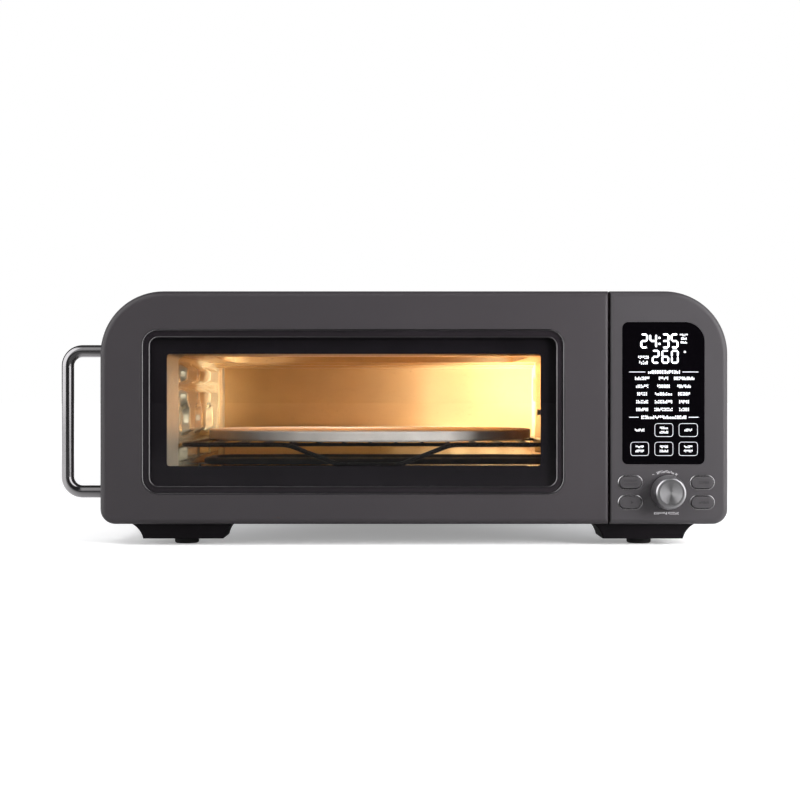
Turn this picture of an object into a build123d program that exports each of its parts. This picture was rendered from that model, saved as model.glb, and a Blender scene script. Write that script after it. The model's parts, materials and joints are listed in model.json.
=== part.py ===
"""Countertop electric pizza oven with a side-hung glass door and a round stone on a wire rack.

Millimetres, +Z up, +X to the right and +Y to the back as a user faces the oven.
Sizes below are in the casing's frame: x from near the middle of the casing, y from the
door's outer face, z from the floor. place() moves every piece by one named shift,
so that the origin is under the middle of the whole oven, at floor level.
"""
from build123d import *
from math import cos, radians, tan
import os

# Casing
body_left = -262.0
body_width = 525.2
body_top = 213.8
casing_bottom = 18.5
door_bottom = 18.8
top_corner_radius = 53.0
bottom_corner_radius = 12.5
front_edge_radius = 5.0
split_edge_radius = 2.5
casing_back = 372.0
frame_face = 34.0
sheet = 1.0
liner_sheet = 0.8
wrap_lip = 22.0

# Door
door_thickness = 30.0
door_right = 163.0
door_wall = 2.5
hinge_inset = 14.0
hinge_depth = 8.0
hinge_end_radius = 8.0

# Window
bezel_left = -227.0
bezel_right = 126.6
bezel_bottom = 43.8
bezel_top = 182.0
bezel_radius = 14.0
bezel_width = 7.2
bezel_rim = 1.2
bezel_inner_rim = 1.0
bezel_inner_rim_sink = 0.8
bezel_recess = 2.0
bezel_rim_depth = 0.4
bezel_depth = 8.0
bezel_flange = 4.0
bezel_flange_thickness = 1.5
fit_gap = 0.2
outer_glass_thickness = 4.0
glass_face = 3.4
inner_glass_thickness = 3.5
inner_window_left = -212.0
inner_window_right = 112.0
inner_window_bottom = 63.0
inner_window_top = 165.0
inner_window_radius = 6.0
inner_glass_overlap = 7.0
glass_clip_length = 24.0
glass_clip_width = 9.0
glass_clip_lap = 4.0
glass_clip_gap = 0.3
glass_clip_shares = (0.25, 0.75)
liner_flange = 6.0

# Door seal
seal_width = 5.0
seal_squeeze_gap = 0.3
seal_offset = 3.5

# Handle
handle_diameter = 10.3
handle_wall = 1.5
handle_reach = 29.4
handle_top = 163.9
handle_bottom = 45.5
handle_bend_radius = 12.5
handle_insert_length = 14.0
handle_screw_diameter = 5.0
handle_screw_length = 12.0
handle_screw_head = 9.0
handle_screw_head_depth = 2.6
handle_boss_diameter = 14.0
handle_boss_height = 1.0

# Hinge
hinge_pin_diameter = 5.0
hinge_running_gap = 0.05
hinge_arm_thickness = 3.0
hinge_arm_half_width = 4.5
hinge_arm_offset = 9.0
hinge_arm_right = 1.0
hinge_foot_width = 19.0
hinge_foot_height = 14.0
hinge_foot_thickness = 2.0
hinge_slot_height = 4.4
hinge_slot_start = 2.9
hinge_ear = 5.0
hinge_block_right = 5.0
hinge_block_back = 17.0
hinge_web = 2.0
hinge_web_gap = 1.0
hinge_ear_gap = 0.4
hinge_screw_head = 1.4
hinge_end_inset = 11.5

# Control panel
panel_gap = 1.7
panel_wall = 3.5
display_left = 174.5
display_right = 243.4
display_bottom = 68.9
display_top = 187.9
display_corner_large = 16.5
display_corner_top_left = 5.4
display_corner_bottom = 4.5
display_glass_thickness = 2.0
display_ledge = 4.0
display_module_depth = 8.0
display_pin_row_length = 28.0
display_pin_row_height = 4.0
display_pin_row_share = 1 / 3
panel_cable_margin = 14.0
panel_cable_bottom = 30.0
panel_cable_top = 196.0
board_post_diameter = 6.0
board_face = 20.0
board_thickness = 1.6
board_margin = 3.0
board_post_left = 14.5
board_post_right = 22.0
board_post_upper_right = 40.0
board_post_inset = 8.2
board_post_top_inset = 16.5

# Buttons
button_length = 18.6
button_height = 10.0
button_proud = 1.4
button_flange = 1.5
button_flange_thickness = 1.2
button_travel = 1.2
button_stem_diameter = 4.0
button_clearance = 0.2
button_edge_radius = 0.8
button_columns = (181.3, 241.4)
button_rows = (53.9, 37.3)
tact_switch_size = 6.0
tact_switch_height = 3.5

# Knob
knob_x = 212.6
knob_z = 45.8
knob_base_radius = 14.4
knob_face_radius = 12.8
knob_length = 15.5
knob_rim_radius = 2.2
knob_dish = 0.6
knob_land = 0.8
knob_skirt_gap = 1.9
knob_bore_depth = 11.0
knob_wall = 2.0
shaft_diameter = 6.0
shaft_running_gap = 0.05
encoder_size = 13.0
encoder_depth = 7.0
encoder_bush_diameter = 9.0
encoder_bush_length = 7.0
encoder_wall = 1.2
plunger_room = 1.4
shaft_flat_length = 8.0
knob_stem_radius = 5.0
knob_hole_gap = 0.8
knob_hollow_depth = 8.0
knob_foot_band = 2.0
plunger_diameter = 8.0
plunger_thickness = 1.6

# Cavity
cavity_left = -203.0
cavity_right = 128.0
cavity_bottom = 46.0
cavity_top = 161.0
cavity_front = 52.0
cavity_back = 350.0
throat_flare = 7.0
throat_corner = 6.0
ceiling_pan_height = 18.0
ceiling_pan_margin = 24.0
ceiling_pan_front = 84.0
ceiling_pan_back = 306.0
ceiling_pan_radius = 14.0
back_wall_rim = 8.0
ceiling_step_count = 2
ceiling_step_pitch = 16.0
ceiling_step_drop = 2.4

# Pressed rack runners in the side walls
runner_stations = (92.0, 176.0, 260.0)
runner_length = 70.0
runner_reach = 7.0
runner_taper = 10.0
runner_corner = 5.0
lower_runner_height = 12.0
middle_runner_top = 132.0
middle_runner_head = 11.0
middle_runner_bottom = 94.0
middle_stem_width = 34.0
middle_flare_width = 52.0
middle_flare_height = 7.0
upper_runner_bottom = 139.0
upper_runner_height = 14.0

# Rack and stone
rack_wire = 4.0
rack_cross_wire = 3.0
rack_height = 84.2
rack_front = 44.0
rack_back = 342.0
rack_side_gap = 4.5
rack_corner_radius = 12.0
rack_second_rail = 20.0
rack_tie_inset = 87.0
rack_tie_drop = 0.55
weld_sink = 0.1
rack_cross_count = 13
bow_width = 141.0
bow_floor_width = 52.0
bow_drop = 17.5
bow_bend_radius = 34.0
seat_gap = 0.2
stone_diameter = 305.0
stone_thickness = 9.0
stone_edge_radius = 1.5
stone_shift = -2.0

# Crumb tray
tray_side_gap = 5.0
tray_front = 54.0
tray_back = 344.0
tray_rim = 8.0
tray_lip = 14.0
tray_corner = 6.0

# Heaters
heater_diameter = 6.5
lower_heater_height = 66.0
upper_heater_height = 170.5
heater_front_leg = 148.0
heater_back_leg = 242.0
heater_side_gap = 11.0
heater_bend_radius = 22.0
heater_hole_gap = 0.15
heater_tail = 12.0
terminal_diameter = 11.0
terminal_length = 14.0
terminal_pin_diameter = 3.0
terminal_pin_length = 10.0
heater_bracket_thickness = 1.0
heater_bracket_width = 12.0

# Fan behind the right wall
fan_y = 176.0
fan_z = 112.0
fan_grille_radius = 32.0
fan_slot_width = 5.0
fan_slot_pitch = 10.0
fan_housing_width = 104.0
fan_housing_height = 78.0
fan_housing_depth = 20.0
fan_housing_radius = 10.0
fan_housing_flange = 7.0
fan_radius = 34.0
fan_disc_thickness = 1.2
fan_vane_count = 8
fan_vane_depth = 9.0
fan_vane_thickness = 1.2
fan_hub_radius = 11.0
fan_hub_sink = 2.0
fan_vane_root = 0.5
fan_wall_gap = 4.0
fan_shaft_diameter = 5.0
fan_shaft_gap = 0.05
fan_shaft_inset = 1.0
fan_housing_bore = 5.4
motor_width = 52.0
motor_height = 58.0
motor_stack = 18.0
motor_bearing_diameter = 22.0
motor_bearing_length = 6.0
motor_standoff = 8.0
motor_standoff_diameter = 6.0
motor_standoff_spacing = 36.0

# Lamp and temperature probe
lamp_y = 318.0
lamp_z = 134.0
lamp_opening_width = 34.0
lamp_opening_height = 26.0
lamp_lens_lap = 4.0
lamp_lens_thickness = 3.0
lamp_can_depth = 34.0
lamp_can_wall = 1.0
lamp_opening_radius = 4.0
lamp_can_radius = 6.0
socket_radius = 8.0
socket_inside = 4.0
socket_outside = 8.0
bulb_radius = 6.0
bulb_length = 20.0
bulb_tip_radius = 4.8
probe_diameter = 5.0
probe_length = 38.0
probe_y = 66.0
probe_z = 112.0
probe_nut_width = 12.0
probe_nut_thickness = 4.0

# Insulation
insulation_thickness = 14.0
insulation_gap = 0.3
insulation_end_gap = 4.0

# Power board in the control bay
power_board_length = 110.0
power_board_height = 96.0
power_board_y = 286.0
power_board_z = 92.0
power_board_thickness = 1.6
power_standoff = 8.0
power_standoff_diameter = 6.0
relay_length = 19.0
relay_width = 15.0
relay_height = 15.0
relay_count = 3
relay_gap = 5.0
relay_y_inset = 14.0
relay_z_inset = 10.0
heatsink_length = 44.0
heatsink_height = 26.0
heatsink_width = 24.0
heatsink_base = 4.0
heatsink_y_inset = 12.0
heatsink_z_inset = 10.0
heatsink_fin_count = 5
heatsink_fin_thickness = 1.5
power_bracket_x = 244.0
power_bracket_foot = 12.0

# Cord inlet
gland_x = 206.0
gland_z = 62.0
gland_bore_radius = 4.2
gland_neck_radius = 8.0
gland_tip_radius = 6.2
gland_flange_radius = 12.0
gland_inner_length = 6.0
gland_outer_length = 9.0
gland_flange_thickness = 2.5

# Back panel and base vents
vent_width = 4.0
vent_length = 34.0
vent_pitch = 11.0
back_vent_columns = 9
back_vent_x = 206.0
back_vent_z = 140.0
base_vent_columns = 14
base_vent_y = 210.0
base_vent_x = -37.0
base_flange = 12.0
base_front_flange = 5.0
wrap_rear_lip = 12.0
wrap_rear_lip_bottom = 60.0

# Legs
leg_top_width = 86.0
leg_bottom_width = 68.0
leg_height = 13.0
leg_length = 60.0
leg_end_draft = 5.0
leg_side_sag = 2.2
leg_spread = 194.5
front_leg_face = 12.0
rear_leg_margin = 10.0
leg_wall = 3.0
leg_edge_radius = 1.5
foot_post_diameter = 26.0
leg_seat_diameter = 12.0
foot_diameter = 20.7
foot_recess = 2.0
foot_chamfer = 1.0

# Magnet catch
magnet_length = 26.0
magnet_height = 14.0
magnet_x = -236.0
magnet_z = 106.0
strike_thickness = 1.5
strike_gap = 0.5

# Fasteners
screw_head_diameter = 7.0
screw_head_thickness = 2.2
screw_shank_diameter = 3.5
screw_shank_length = 8.0
screw_hole_gap = 0.1
screw_end = 2.0
back_screw_inset = 14.0
back_screw_columns = 4
back_hole_reach = 6.0

# Places that follow from the sizes above
body_right = body_left + body_width
leg_bottom = casing_bottom - leg_height
front_leg_middle = front_leg_face + leg_length / 2
rear_leg_middle = casing_back - rear_leg_margin - leg_length / 2
screw_hole_radius = screw_shank_diameter / 2 + screw_hole_gap
panel_left = door_right + panel_gap
hinge_x = door_right - hinge_inset
hinge_heights = (door_bottom + hinge_end_inset, body_top - hinge_end_inset)
liner_right = door_right - hinge_end_radius
cavity_middle = (cavity_left + cavity_right) / 2
wall_outer_right = cavity_right + liner_sheet
fan_housing_back = wall_outer_right + fan_housing_depth
liner_face = door_thickness - sheet
handle_y = door_thickness / 2
handle_x = body_left - handle_reach
glass_inset = bezel_width / 2
knob_base_y = -knob_skirt_gap
knob_front_y = knob_base_y - knob_length
gland_back = casing_back + gland_outer_length
rack_left = cavity_left + rack_side_gap
rack_right = cavity_right - rack_side_gap
stone_middle_y = (rack_front + rack_back) / 2
motor_face = fan_housing_back + motor_standoff + motor_bearing_length
origin_shift = Vector(
    -((handle_x - handle_diameter / 2) + body_right) / 2,
    -(knob_front_y + gland_back) / 2,
    0,
)


def block(x0, x1, y0, y1, z0, z1):
    """A box between two corners."""
    middle = Pos((x0 + x1) / 2, (y0 + y1) / 2, (z0 + z1) / 2)
    return middle * Box(x1 - x0, y1 - y0, z1 - z0)


def outline(left, right, bottom, top, radii):
    """A rounded face seen from the front; radii run from bottom left, anticlockwise."""
    corners = [(left, bottom), (right, bottom), (right, top), (left, top)]
    return make_face(FilletPolyline(*corners, radius=radii, close=True).edges())


def plate(face, y, depth):
    """Extrude a front-view face backwards from y."""
    return extrude(Plane.XZ.offset(-y) * face, amount=-depth)


def side_plate(face, x, thickness):
    """Extrude a face drawn in the YZ plane to the right from x."""
    return extrude(Plane.YZ.offset(x) * face, amount=thickness)


def rod(start, end, radius):
    """A round bar between two points."""
    run = Vector(*end) - Vector(*start)
    return extrude(Plane(origin=start, z_dir=run.normalized()) * Circle(radius), amount=run.length)


def tube_along(path, radius):
    """A round bar along a bent path."""
    return sweep(Plane(origin=path @ 0, z_dir=path % 0) * Circle(radius), path=path)


def edges_at_y(part, y):
    """The part's edges that lie wholly in one plane square to Y."""
    return part.edges().filter_by_position(Axis.Y, y - 0.01, y + 0.01)


def casing_outline(inset=0.0, bottom=casing_bottom):
    """The casing's front outline, drawn in by a wall."""
    top_radius = top_corner_radius - inset
    low_radius = bottom_corner_radius - inset
    return outline(
        body_left + inset,
        body_right - inset,
        bottom + inset,
        body_top - inset,
        [low_radius, low_radius, top_radius, top_radius],
    )


def door_outline(inset=0.0):
    """The door's front outline: round at the handle side, square at the hinge side."""
    return outline(
        body_left + inset,
        door_right - inset,
        door_bottom + inset,
        body_top - inset,
        [bottom_corner_radius - inset, 0, 0, top_corner_radius - inset],
    )


def panel_outline(inset=0.0):
    """The control panel's front outline: round at the right, square beside the door."""
    return outline(
        panel_left + inset,
        body_right - inset,
        door_bottom + inset,
        body_top - inset,
        [0, bottom_corner_radius - inset, top_corner_radius - inset, 0],
    )


def corner_waste(x, y, into_x, into_y, radius):
    """What is cut away to round an upright corner at x, y; into_x and into_y point into the part."""
    xs = sorted((x - into_x, x + into_x * radius))
    ys = sorted((y - into_y, y + into_y * radius))
    waste = block(*xs, *ys, 0, body_top + 1)
    centre = (x + into_x * radius, y + into_y * radius)
    return waste - rod((*centre, -1), (*centre, body_top + 2), radius)


def soften_front(part, split_x, into_x):
    """Round the front edges: large all round the outside, small beside the split."""
    edges = [edge for edge in edges_at_y(part, 0) if abs(edge.center().X - split_x) > 0.01]
    return fillet(edges, front_edge_radius) - corner_waste(split_x, 0, into_x, 1, split_edge_radius)


def bezel_outline(inset=0.0):
    return outline(
        bezel_left + inset,
        bezel_right - inset,
        bezel_bottom + inset,
        bezel_top - inset,
        [bezel_radius - inset] * 4,
    )


def inner_window(grow=0.0):
    return outline(
        inner_window_left - grow,
        inner_window_right + grow,
        inner_window_bottom - grow,
        inner_window_top + grow,
        [inner_window_radius] * 4,
    )


# Door pieces
def make_door_frame():
    """The door's outer shell, open at the back, with the window and the hinge slots."""
    shell = soften_front(plate(door_outline(), 0, door_thickness), door_right, -1)
    shell -= corner_waste(door_right, door_thickness, -1, -1, hinge_end_radius)
    shell -= plate(door_outline(door_wall), door_wall, door_thickness)
    shell -= plate(bezel_outline(), -1, door_thickness)
    for height in hinge_heights:
        shell -= block(
            door_right - door_wall - 1,
            door_right + 1,
            hinge_slot_start,
            door_thickness + 1,
            height - hinge_slot_height / 2,
            height + hinge_slot_height / 2,
        )
    for height in (handle_top, handle_bottom):
        boss_start = (body_left + door_wall / 2, handle_y, height)
        boss_end = (body_left + door_wall + handle_boss_height, handle_y, height)
        shell += rod(boss_start, boss_end, handle_boss_diameter / 2)
        outside = (body_left - 1, handle_y, height)
        shell -= rod(outside, boss_end, handle_screw_diameter / 2 + fit_gap)
    return shell


def make_window_bezel():
    """The sunk trim ring: a thin raised rim outside and inside, and a flange behind the door's face."""
    ring = plate(bezel_outline(fit_gap), bezel_rim_depth, bezel_depth - bezel_rim_depth)
    ring += plate(bezel_outline(-bezel_flange), door_wall, bezel_flange_thickness)
    ring -= plate(bezel_outline(bezel_rim), 0, bezel_recess)
    inner = bezel_width - bezel_inner_rim
    ring += plate(bezel_outline(inner), bezel_rim_depth + bezel_inner_rim_sink, bezel_recess)
    ring -= plate(bezel_outline(bezel_width), -1, bezel_depth + 2)
    ring -= plate(bezel_outline(glass_inset - fit_gap), glass_face, bezel_depth)
    return ring


def make_outer_glass():
    return plate(bezel_outline(glass_inset), glass_face, outer_glass_thickness)


def make_inner_glass():
    face = inner_window(inner_glass_overlap)
    return plate(face, liner_face - inner_glass_thickness, inner_glass_thickness)


def make_door_liner():
    """The pressed steel pan that closes the door's back and carries the inner glass."""
    def face(inset, right):
        radii = [bottom_corner_radius - inset, 0, 0, top_corner_radius - inset]
        return outline(body_left + inset, right, door_bottom + inset, body_top - inset, radii)

    edge = door_wall + fit_gap
    pan = plate(face(edge, liner_right), liner_face - liner_flange, sheet + liner_flange)
    pan -= plate(face(edge + sheet, liner_right + 1), 0, liner_face)
    pan -= plate(inner_window(), 0, door_thickness + 1)
    for height in hinge_heights:
        pan -= block(
            hinge_x - hinge_arm_offset - hinge_web_gap - hinge_web,
            liner_right + 1,
            0,
            door_thickness + 1,
            height - hinge_foot_height / 2,
            height + hinge_foot_height / 2,
        )
    return pan


def make_door_seal():
    """The silicone ring on the door's back, just clear of the frame's face."""
    depth = frame_face - door_thickness - seal_squeeze_gap
    grow = throat_flare + seal_offset
    radius = throat_corner + seal_offset

    def ring(extra):
        return outline(
            cavity_left - grow - extra,
            cavity_right + grow + extra,
            cavity_bottom - grow + throat_flare / 2 - extra,
            cavity_top + grow - throat_flare / 2 + extra,
            [radius + extra] * 4,
        )

    seal = plate(ring(seal_width), door_thickness, depth) - plate(ring(0), door_thickness - 1, depth + 2)
    return fillet(edges_at_y(seal, door_thickness + depth), seal_width / 3)


def make_glass_clips():
    """Four steel clips that hold the inner glass to the liner."""
    front = liner_face - inner_glass_thickness
    clips = []
    width = inner_window_right - inner_window_left
    for side in (-1, 1):
        for share in glass_clip_shares:
            x = inner_window_left + width * share
            if side > 0:
                edge = inner_window_top + inner_glass_overlap
            else:
                edge = inner_window_bottom - inner_glass_overlap
            x0 = x - glass_clip_length / 2
            x1 = x + glass_clip_length / 2
            inside = edge - side * glass_clip_lap
            outside = edge + side * glass_clip_width
            step = edge + side * glass_clip_gap
            low, high = sorted((inside, outside))
            tab = block(x0, x1, front - sheet, front, low, high)
            low, high = sorted((step, outside))
            foot = block(x0, x1, front, liner_face, low, high)
            clips.append(tab + foot)
    return clips


def make_door_handle():
    """A bent round tube, square to the door's side, with a threaded plug in each end."""
    path = FilletPolyline(
        (body_left, handle_y, handle_top),
        (handle_x, handle_y, handle_top),
        (handle_x, handle_y, handle_bottom),
        (body_left, handle_y, handle_bottom),
        radius=handle_bend_radius,
    )
    bore = handle_diameter / 2 - handle_wall
    handle = tube_along(path, handle_diameter / 2) - tube_along(path, bore)
    for height in (handle_top, handle_bottom):
        end = (body_left, handle_y, height)
        start = (body_left - handle_insert_length, handle_y, height)
        handle += rod(start, end, bore) - rod(start, end, handle_screw_diameter / 2)
    return handle


def make_handle_screws():
    """Pan-head screws from inside the door into the handle's ends."""
    screws = []
    seat = body_left + door_wall + handle_boss_height
    for height in (handle_top, handle_bottom):
        middle = (seat, handle_y, height)
        shank = rod((seat - handle_screw_length, handle_y, height), middle, handle_screw_diameter / 2)
        head = rod(middle, (seat + handle_screw_head_depth, handle_y, height), handle_screw_head / 2)
        screws.append(shank + head)
    return screws


def make_hinge_blocks():
    """Forked blocks inside the door: an ear above and below each fixed arm, joined by a web."""
    left = hinge_x - hinge_arm_offset - hinge_web_gap - hinge_web
    right = hinge_x + hinge_block_right
    half_gap = hinge_arm_thickness / 2 + hinge_ear_gap
    half_height = half_gap + hinge_ear
    blocks = []
    for height in hinge_heights:
        low, high = height - half_height, height + half_height
        fork = block(left, right, door_wall, hinge_block_back, low, high)
        fork -= block(left + hinge_web, right + 1, 0, door_thickness, height - half_gap, height + half_gap)
        fork -= hinge_rod(low - 1, high + 1, hinge_pin_diameter / 2)
        blocks.append(fork)
    return blocks


def hinge_rod(low, high, radius):
    """A round bar on the hinge axis."""
    return rod((hinge_x, hinge_depth, low), (hinge_x, hinge_depth, high), radius)


def make_hinge_pins():
    reach = hinge_arm_thickness / 2 + hinge_ear_gap + hinge_ear
    return [hinge_rod(height - reach, height + reach, hinge_pin_diameter / 2) for height in hinge_heights]


def make_strike_plate():
    """The steel plate on the door's back that the catch holds."""
    x0, x1 = magnet_x - magnet_length / 2, magnet_x + magnet_length / 2
    z0, z1 = magnet_z - magnet_height / 2, magnet_z + magnet_height / 2
    return block(x0, x1, door_thickness, door_thickness + strike_thickness, z0, z1)


# Housing shell
def make_front_frame():
    """The face plate behind the door, with a flared throat that leads into the cavity."""
    frame = plate(casing_outline(), frame_face, sheet)

    def throat(grow):
        flare = throat_flare + grow
        radius = throat_corner + grow
        mouth = outline(
            cavity_left - flare,
            cavity_right + flare,
            cavity_bottom - flare / 2,
            cavity_top + flare / 2,
            [radius] * 4,
        )
        end = outline(
            cavity_left - grow,
            cavity_right + grow,
            cavity_bottom - grow,
            cavity_top + grow,
            [radius] * 4,
        )
        return loft([Plane.XZ.offset(-frame_face) * mouth, Plane.XZ.offset(-cavity_front) * end])

    frame += throat(liner_sheet)
    frame -= throat(0)
    frame -= block(
        panel_left + panel_cable_margin,
        body_right - panel_cable_margin,
        frame_face - 1,
        frame_face + sheet + 1,
        panel_cable_bottom,
        panel_cable_top,
    )
    for x, z in hinge_screw_places():
        frame -= rod((x, frame_face - 1, z), (x, frame_face + sheet + 1, z), screw_hole_radius)
    return frame


def make_outer_wrap():
    """The bent sheet that makes both sides and the top, turned in under the casing."""
    front = frame_face + sheet
    length = casing_back - sheet - front
    wrap = plate(casing_outline(), front, length) - plate(casing_outline(sheet), front - 1, length + 2)
    wrap -= block(
        body_left + wrap_lip,
        body_right - wrap_lip,
        front - 1,
        casing_back,
        casing_bottom - 1,
        casing_bottom + sheet + 1,
    )
    lip_face = casing_back - 2 * sheet
    lip = plate(casing_outline(sheet), lip_face, sheet) - plate(casing_outline(wrap_rear_lip), 0, casing_back)
    lip -= block(body_left, body_right, 0, casing_back, 0, wrap_rear_lip_bottom)
    return drill_back(wrap + lip)


def make_base_pan():
    """The floor sheet, resting on the wrap's lips, with an upturned flange and air slots."""
    front = frame_face + sheet
    back = casing_back - sheet
    floor = casing_bottom + sheet
    left, right = body_left + bottom_corner_radius, body_right - bottom_corner_radius
    pan = block(left, right, front, back, floor, floor + sheet)
    pan += block(left, right, back - sheet, back, floor, floor + base_flange)
    pan += block(left, right, front, front + sheet, floor, floor + base_front_flange)
    middle = (base_vent_columns - 1) / 2
    for column in range(base_vent_columns):
        x = base_vent_x + (column - middle) * vent_pitch
        slot = Pos(x, base_vent_y, floor) * SlotOverall(vent_length, vent_width, rotation=90)
        pan -= extrude(slot, amount=sheet * 3, both=True)
    for x, y in leg_places():
        pan -= rod((x, y, floor - 1), (x, y, floor + sheet + 1), screw_hole_radius)
    return drill_back(pan)


def drill_back(part):
    """Cut the back panel's screw holes through a part."""
    for x, z in back_screw_places():
        part -= rod((x, casing_back - back_hole_reach, z), (x, casing_back + 1, z), screw_hole_radius)
    return part


def make_back_panel():
    """The rear sheet with two rows of air slots and the cord inlet."""
    panel = plate(casing_outline(), casing_back - sheet, sheet)
    middle = (back_vent_columns - 1) / 2
    for column in range(back_vent_columns):
        x = back_vent_x + (column - middle) * vent_pitch
        slot = Pos(x, back_vent_z) * SlotOverall(vent_length, vent_width, rotation=90)
        panel -= plate(slot, casing_back - sheet - 1, sheet + 2)
    inlet_front, inlet_back = (gland_x, casing_back - sheet - 1, gland_z), (gland_x, casing_back + 1, gland_z)
    panel -= rod(inlet_front, inlet_back, gland_neck_radius)
    return drill_back(panel)


def make_cord_gland():
    """The moulded inlet that the cord passes through."""
    inner = casing_back - sheet - gland_inner_length
    gland = rod((gland_x, inner, gland_z), (gland_x, casing_back, gland_z), gland_neck_radius)
    flange_back = casing_back + gland_flange_thickness
    gland += rod((gland_x, casing_back, gland_z), (gland_x, flange_back, gland_z), gland_flange_radius)
    gland += Pos(gland_x, (flange_back + gland_back) / 2, gland_z) * Rot(-90, 0, 0) * Cone(
        gland_neck_radius, gland_tip_radius, gland_back - flange_back
    )
    inner_face = casing_back - sheet
    gland += rod(
        (gland_x, inner_face - gland_flange_thickness, gland_z),
        (gland_x, inner_face, gland_z),
        gland_flange_radius,
    )
    return gland - rod((gland_x, inner - 1, gland_z), (gland_x, gland_back + 1, gland_z), gland_bore_radius)


def leg_places():
    """The screw centres of the four legs, front pair first."""
    return [(side * leg_spread, y) for y in (front_leg_middle, rear_leg_middle) for side in (-1, 1)]


def make_leg():
    """A moulded leg with curved-in sides, drafted ends and a hollow top round a raised seat."""
    half_top, half_low = leg_top_width / 2, leg_bottom_width / 2
    mid_x = (half_top + half_low) / 2 - leg_side_sag
    mid_z = leg_height / 2

    def front_face(inset):
        right = ThreePointArc(
            (half_low - inset, inset), (mid_x - inset, mid_z), (half_top - inset, leg_height)
        )
        left = ThreePointArc(
            (inset - half_top, leg_height), (inset - mid_x, mid_z), (inset - half_low, inset)
        )
        low = Line((inset - half_low, inset), (half_low - inset, inset))
        top = Line((half_top - inset, leg_height), (inset - half_top, leg_height))
        return make_face([low, right, top, left])

    def side_face(inset):
        half = leg_length / 2 - inset
        low = half - leg_end_draft
        return make_face(
            Polyline((-low, inset), (low, inset), (half, leg_height), (-half, leg_height), close=True)
        )

    def solid(inset):
        across = extrude(Plane.XZ * front_face(inset), amount=leg_length, both=True)
        along = extrude(Plane.YZ * side_face(inset), amount=leg_top_width, both=True)
        return across & along

    leg = solid(0)
    edges = leg.edges().filter_by(lambda edge: edge.length > leg_height / 2).filter_by(
        lambda edge: abs(edge.center().Z - leg_height) > 0.1 and abs(edge.center().Z) > 0.1
    )
    leg = fillet(edges, leg_edge_radius)
    hollow = solid(leg_wall)
    post = Pos(0, 0, leg_height / 2) * Cylinder(foot_post_diameter / 2, leg_height)
    leg -= hollow - post
    leg -= Pos(0, 0, foot_recess / 2) * Cylinder(foot_diameter / 2 + fit_gap, foot_recess)
    leg += Pos(0, 0, leg_height + sheet / 2) * Cylinder(leg_seat_diameter / 2, sheet)
    leg -= Pos(0, 0, leg_height / 2) * Cylinder(screw_hole_radius, leg_height + 4 * sheet)
    return leg


def make_legs():
    leg = make_leg()
    return [Pos(x, y, leg_bottom) * leg for x, y in leg_places()]


def make_rubber_feet():
    """Rubber discs, seated in the legs, with a sunk hole for each leg's screw."""
    height = leg_bottom + foot_recess
    foot = Pos(0, 0, height / 2) * Cylinder(foot_diameter / 2, height)
    foot = chamfer(foot.edges().filter_by_position(Axis.Z, -0.01, 0.01), foot_chamfer)
    foot -= Pos(0, 0, height / 2) * Cylinder(screw_head_diameter / 2 + fit_gap, height + 2)
    return [Pos(x, y, 0) * foot for x, y in leg_places()]


def make_leg_screws():
    """Pan-head screws up through each leg into the base."""
    screws = []
    for x, y in leg_places():
        seat = leg_bottom + foot_recess
        head = rod((x, y, seat - screw_head_thickness), (x, y, seat), screw_head_diameter / 2)
        shank = rod((x, y, seat), (x, y, casing_bottom + 2 * sheet + screw_end), screw_shank_diameter / 2)
        screws.append(head + shank)
    return screws


def back_screw_places():
    """The back panel's screws, near its edges, evenly spaced along the top and the bottom."""
    first = body_left + top_corner_radius
    step = (body_right - top_corner_radius - first) / (back_screw_columns - 1)
    rows = (casing_bottom + back_screw_inset / 2, body_top - back_screw_inset / 2)
    return [(first + column * step, z) for z in rows for column in range(back_screw_columns)]


def make_back_screws():
    screws = []
    for x, z in back_screw_places():
        head = rod((x, casing_back, z), (x, casing_back + screw_head_thickness, z), screw_head_diameter / 2)
        shank = rod((x, casing_back - screw_shank_length, z), (x, casing_back, z), screw_shank_diameter / 2)
        screws.append(head + shank)
    return screws


# Catch and hinge arms on the housing
def make_door_magnet():
    """A magnet block behind the frame's face, proud of it by the catch's gap."""
    face = door_thickness + strike_thickness + strike_gap
    x0, x1 = magnet_x - magnet_length / 2, magnet_x + magnet_length / 2
    z0, z1 = magnet_z - magnet_height / 2, magnet_z + magnet_height / 2
    return block(x0, x1, face, frame_face, z0, z1)


def hinge_screw_places():
    """Two screws through each hinge arm's foot."""
    left = hinge_x - hinge_arm_offset
    inset = hinge_foot_height / 4
    x = left + hinge_foot_width - inset
    return [(x, height + side * inset) for height in hinge_heights for side in (-1, 1)]


def make_hinge_arms():
    """Fixed arms that reach from the frame through the door's back to the hinge pins."""
    arms = []
    half = hinge_arm_half_width
    left = -hinge_arm_offset
    reach = frame_face - hinge_depth
    for height in hinge_heights:
        body = make_face(
            Polyline(
                (0, -half),
                (left, half / 2),
                (left, reach),
                (hinge_arm_right, reach),
                (hinge_arm_right, 0),
                close=True,
            )
        )
        flat = body + Circle(half)
        low = height - hinge_arm_thickness / 2
        arm = extrude(Plane.XY.offset(low) * (Pos(hinge_x, hinge_depth) * flat), amount=hinge_arm_thickness)
        foot_left = hinge_x + left
        arm += block(
            foot_left,
            foot_left + hinge_foot_width,
            frame_face - hinge_foot_thickness,
            frame_face,
            height - hinge_foot_height / 2,
            height + hinge_foot_height / 2,
        )
        bore = hinge_pin_diameter / 2 + hinge_running_gap
        arm -= hinge_rod(height - hinge_foot_height, height + hinge_foot_height, bore)
        arms.append(arm)
    for x, z in hinge_screw_places():
        arms = [arm - rod((x, 0, z), (x, frame_face + 1, z), screw_hole_radius) for arm in arms]
    return arms


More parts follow.
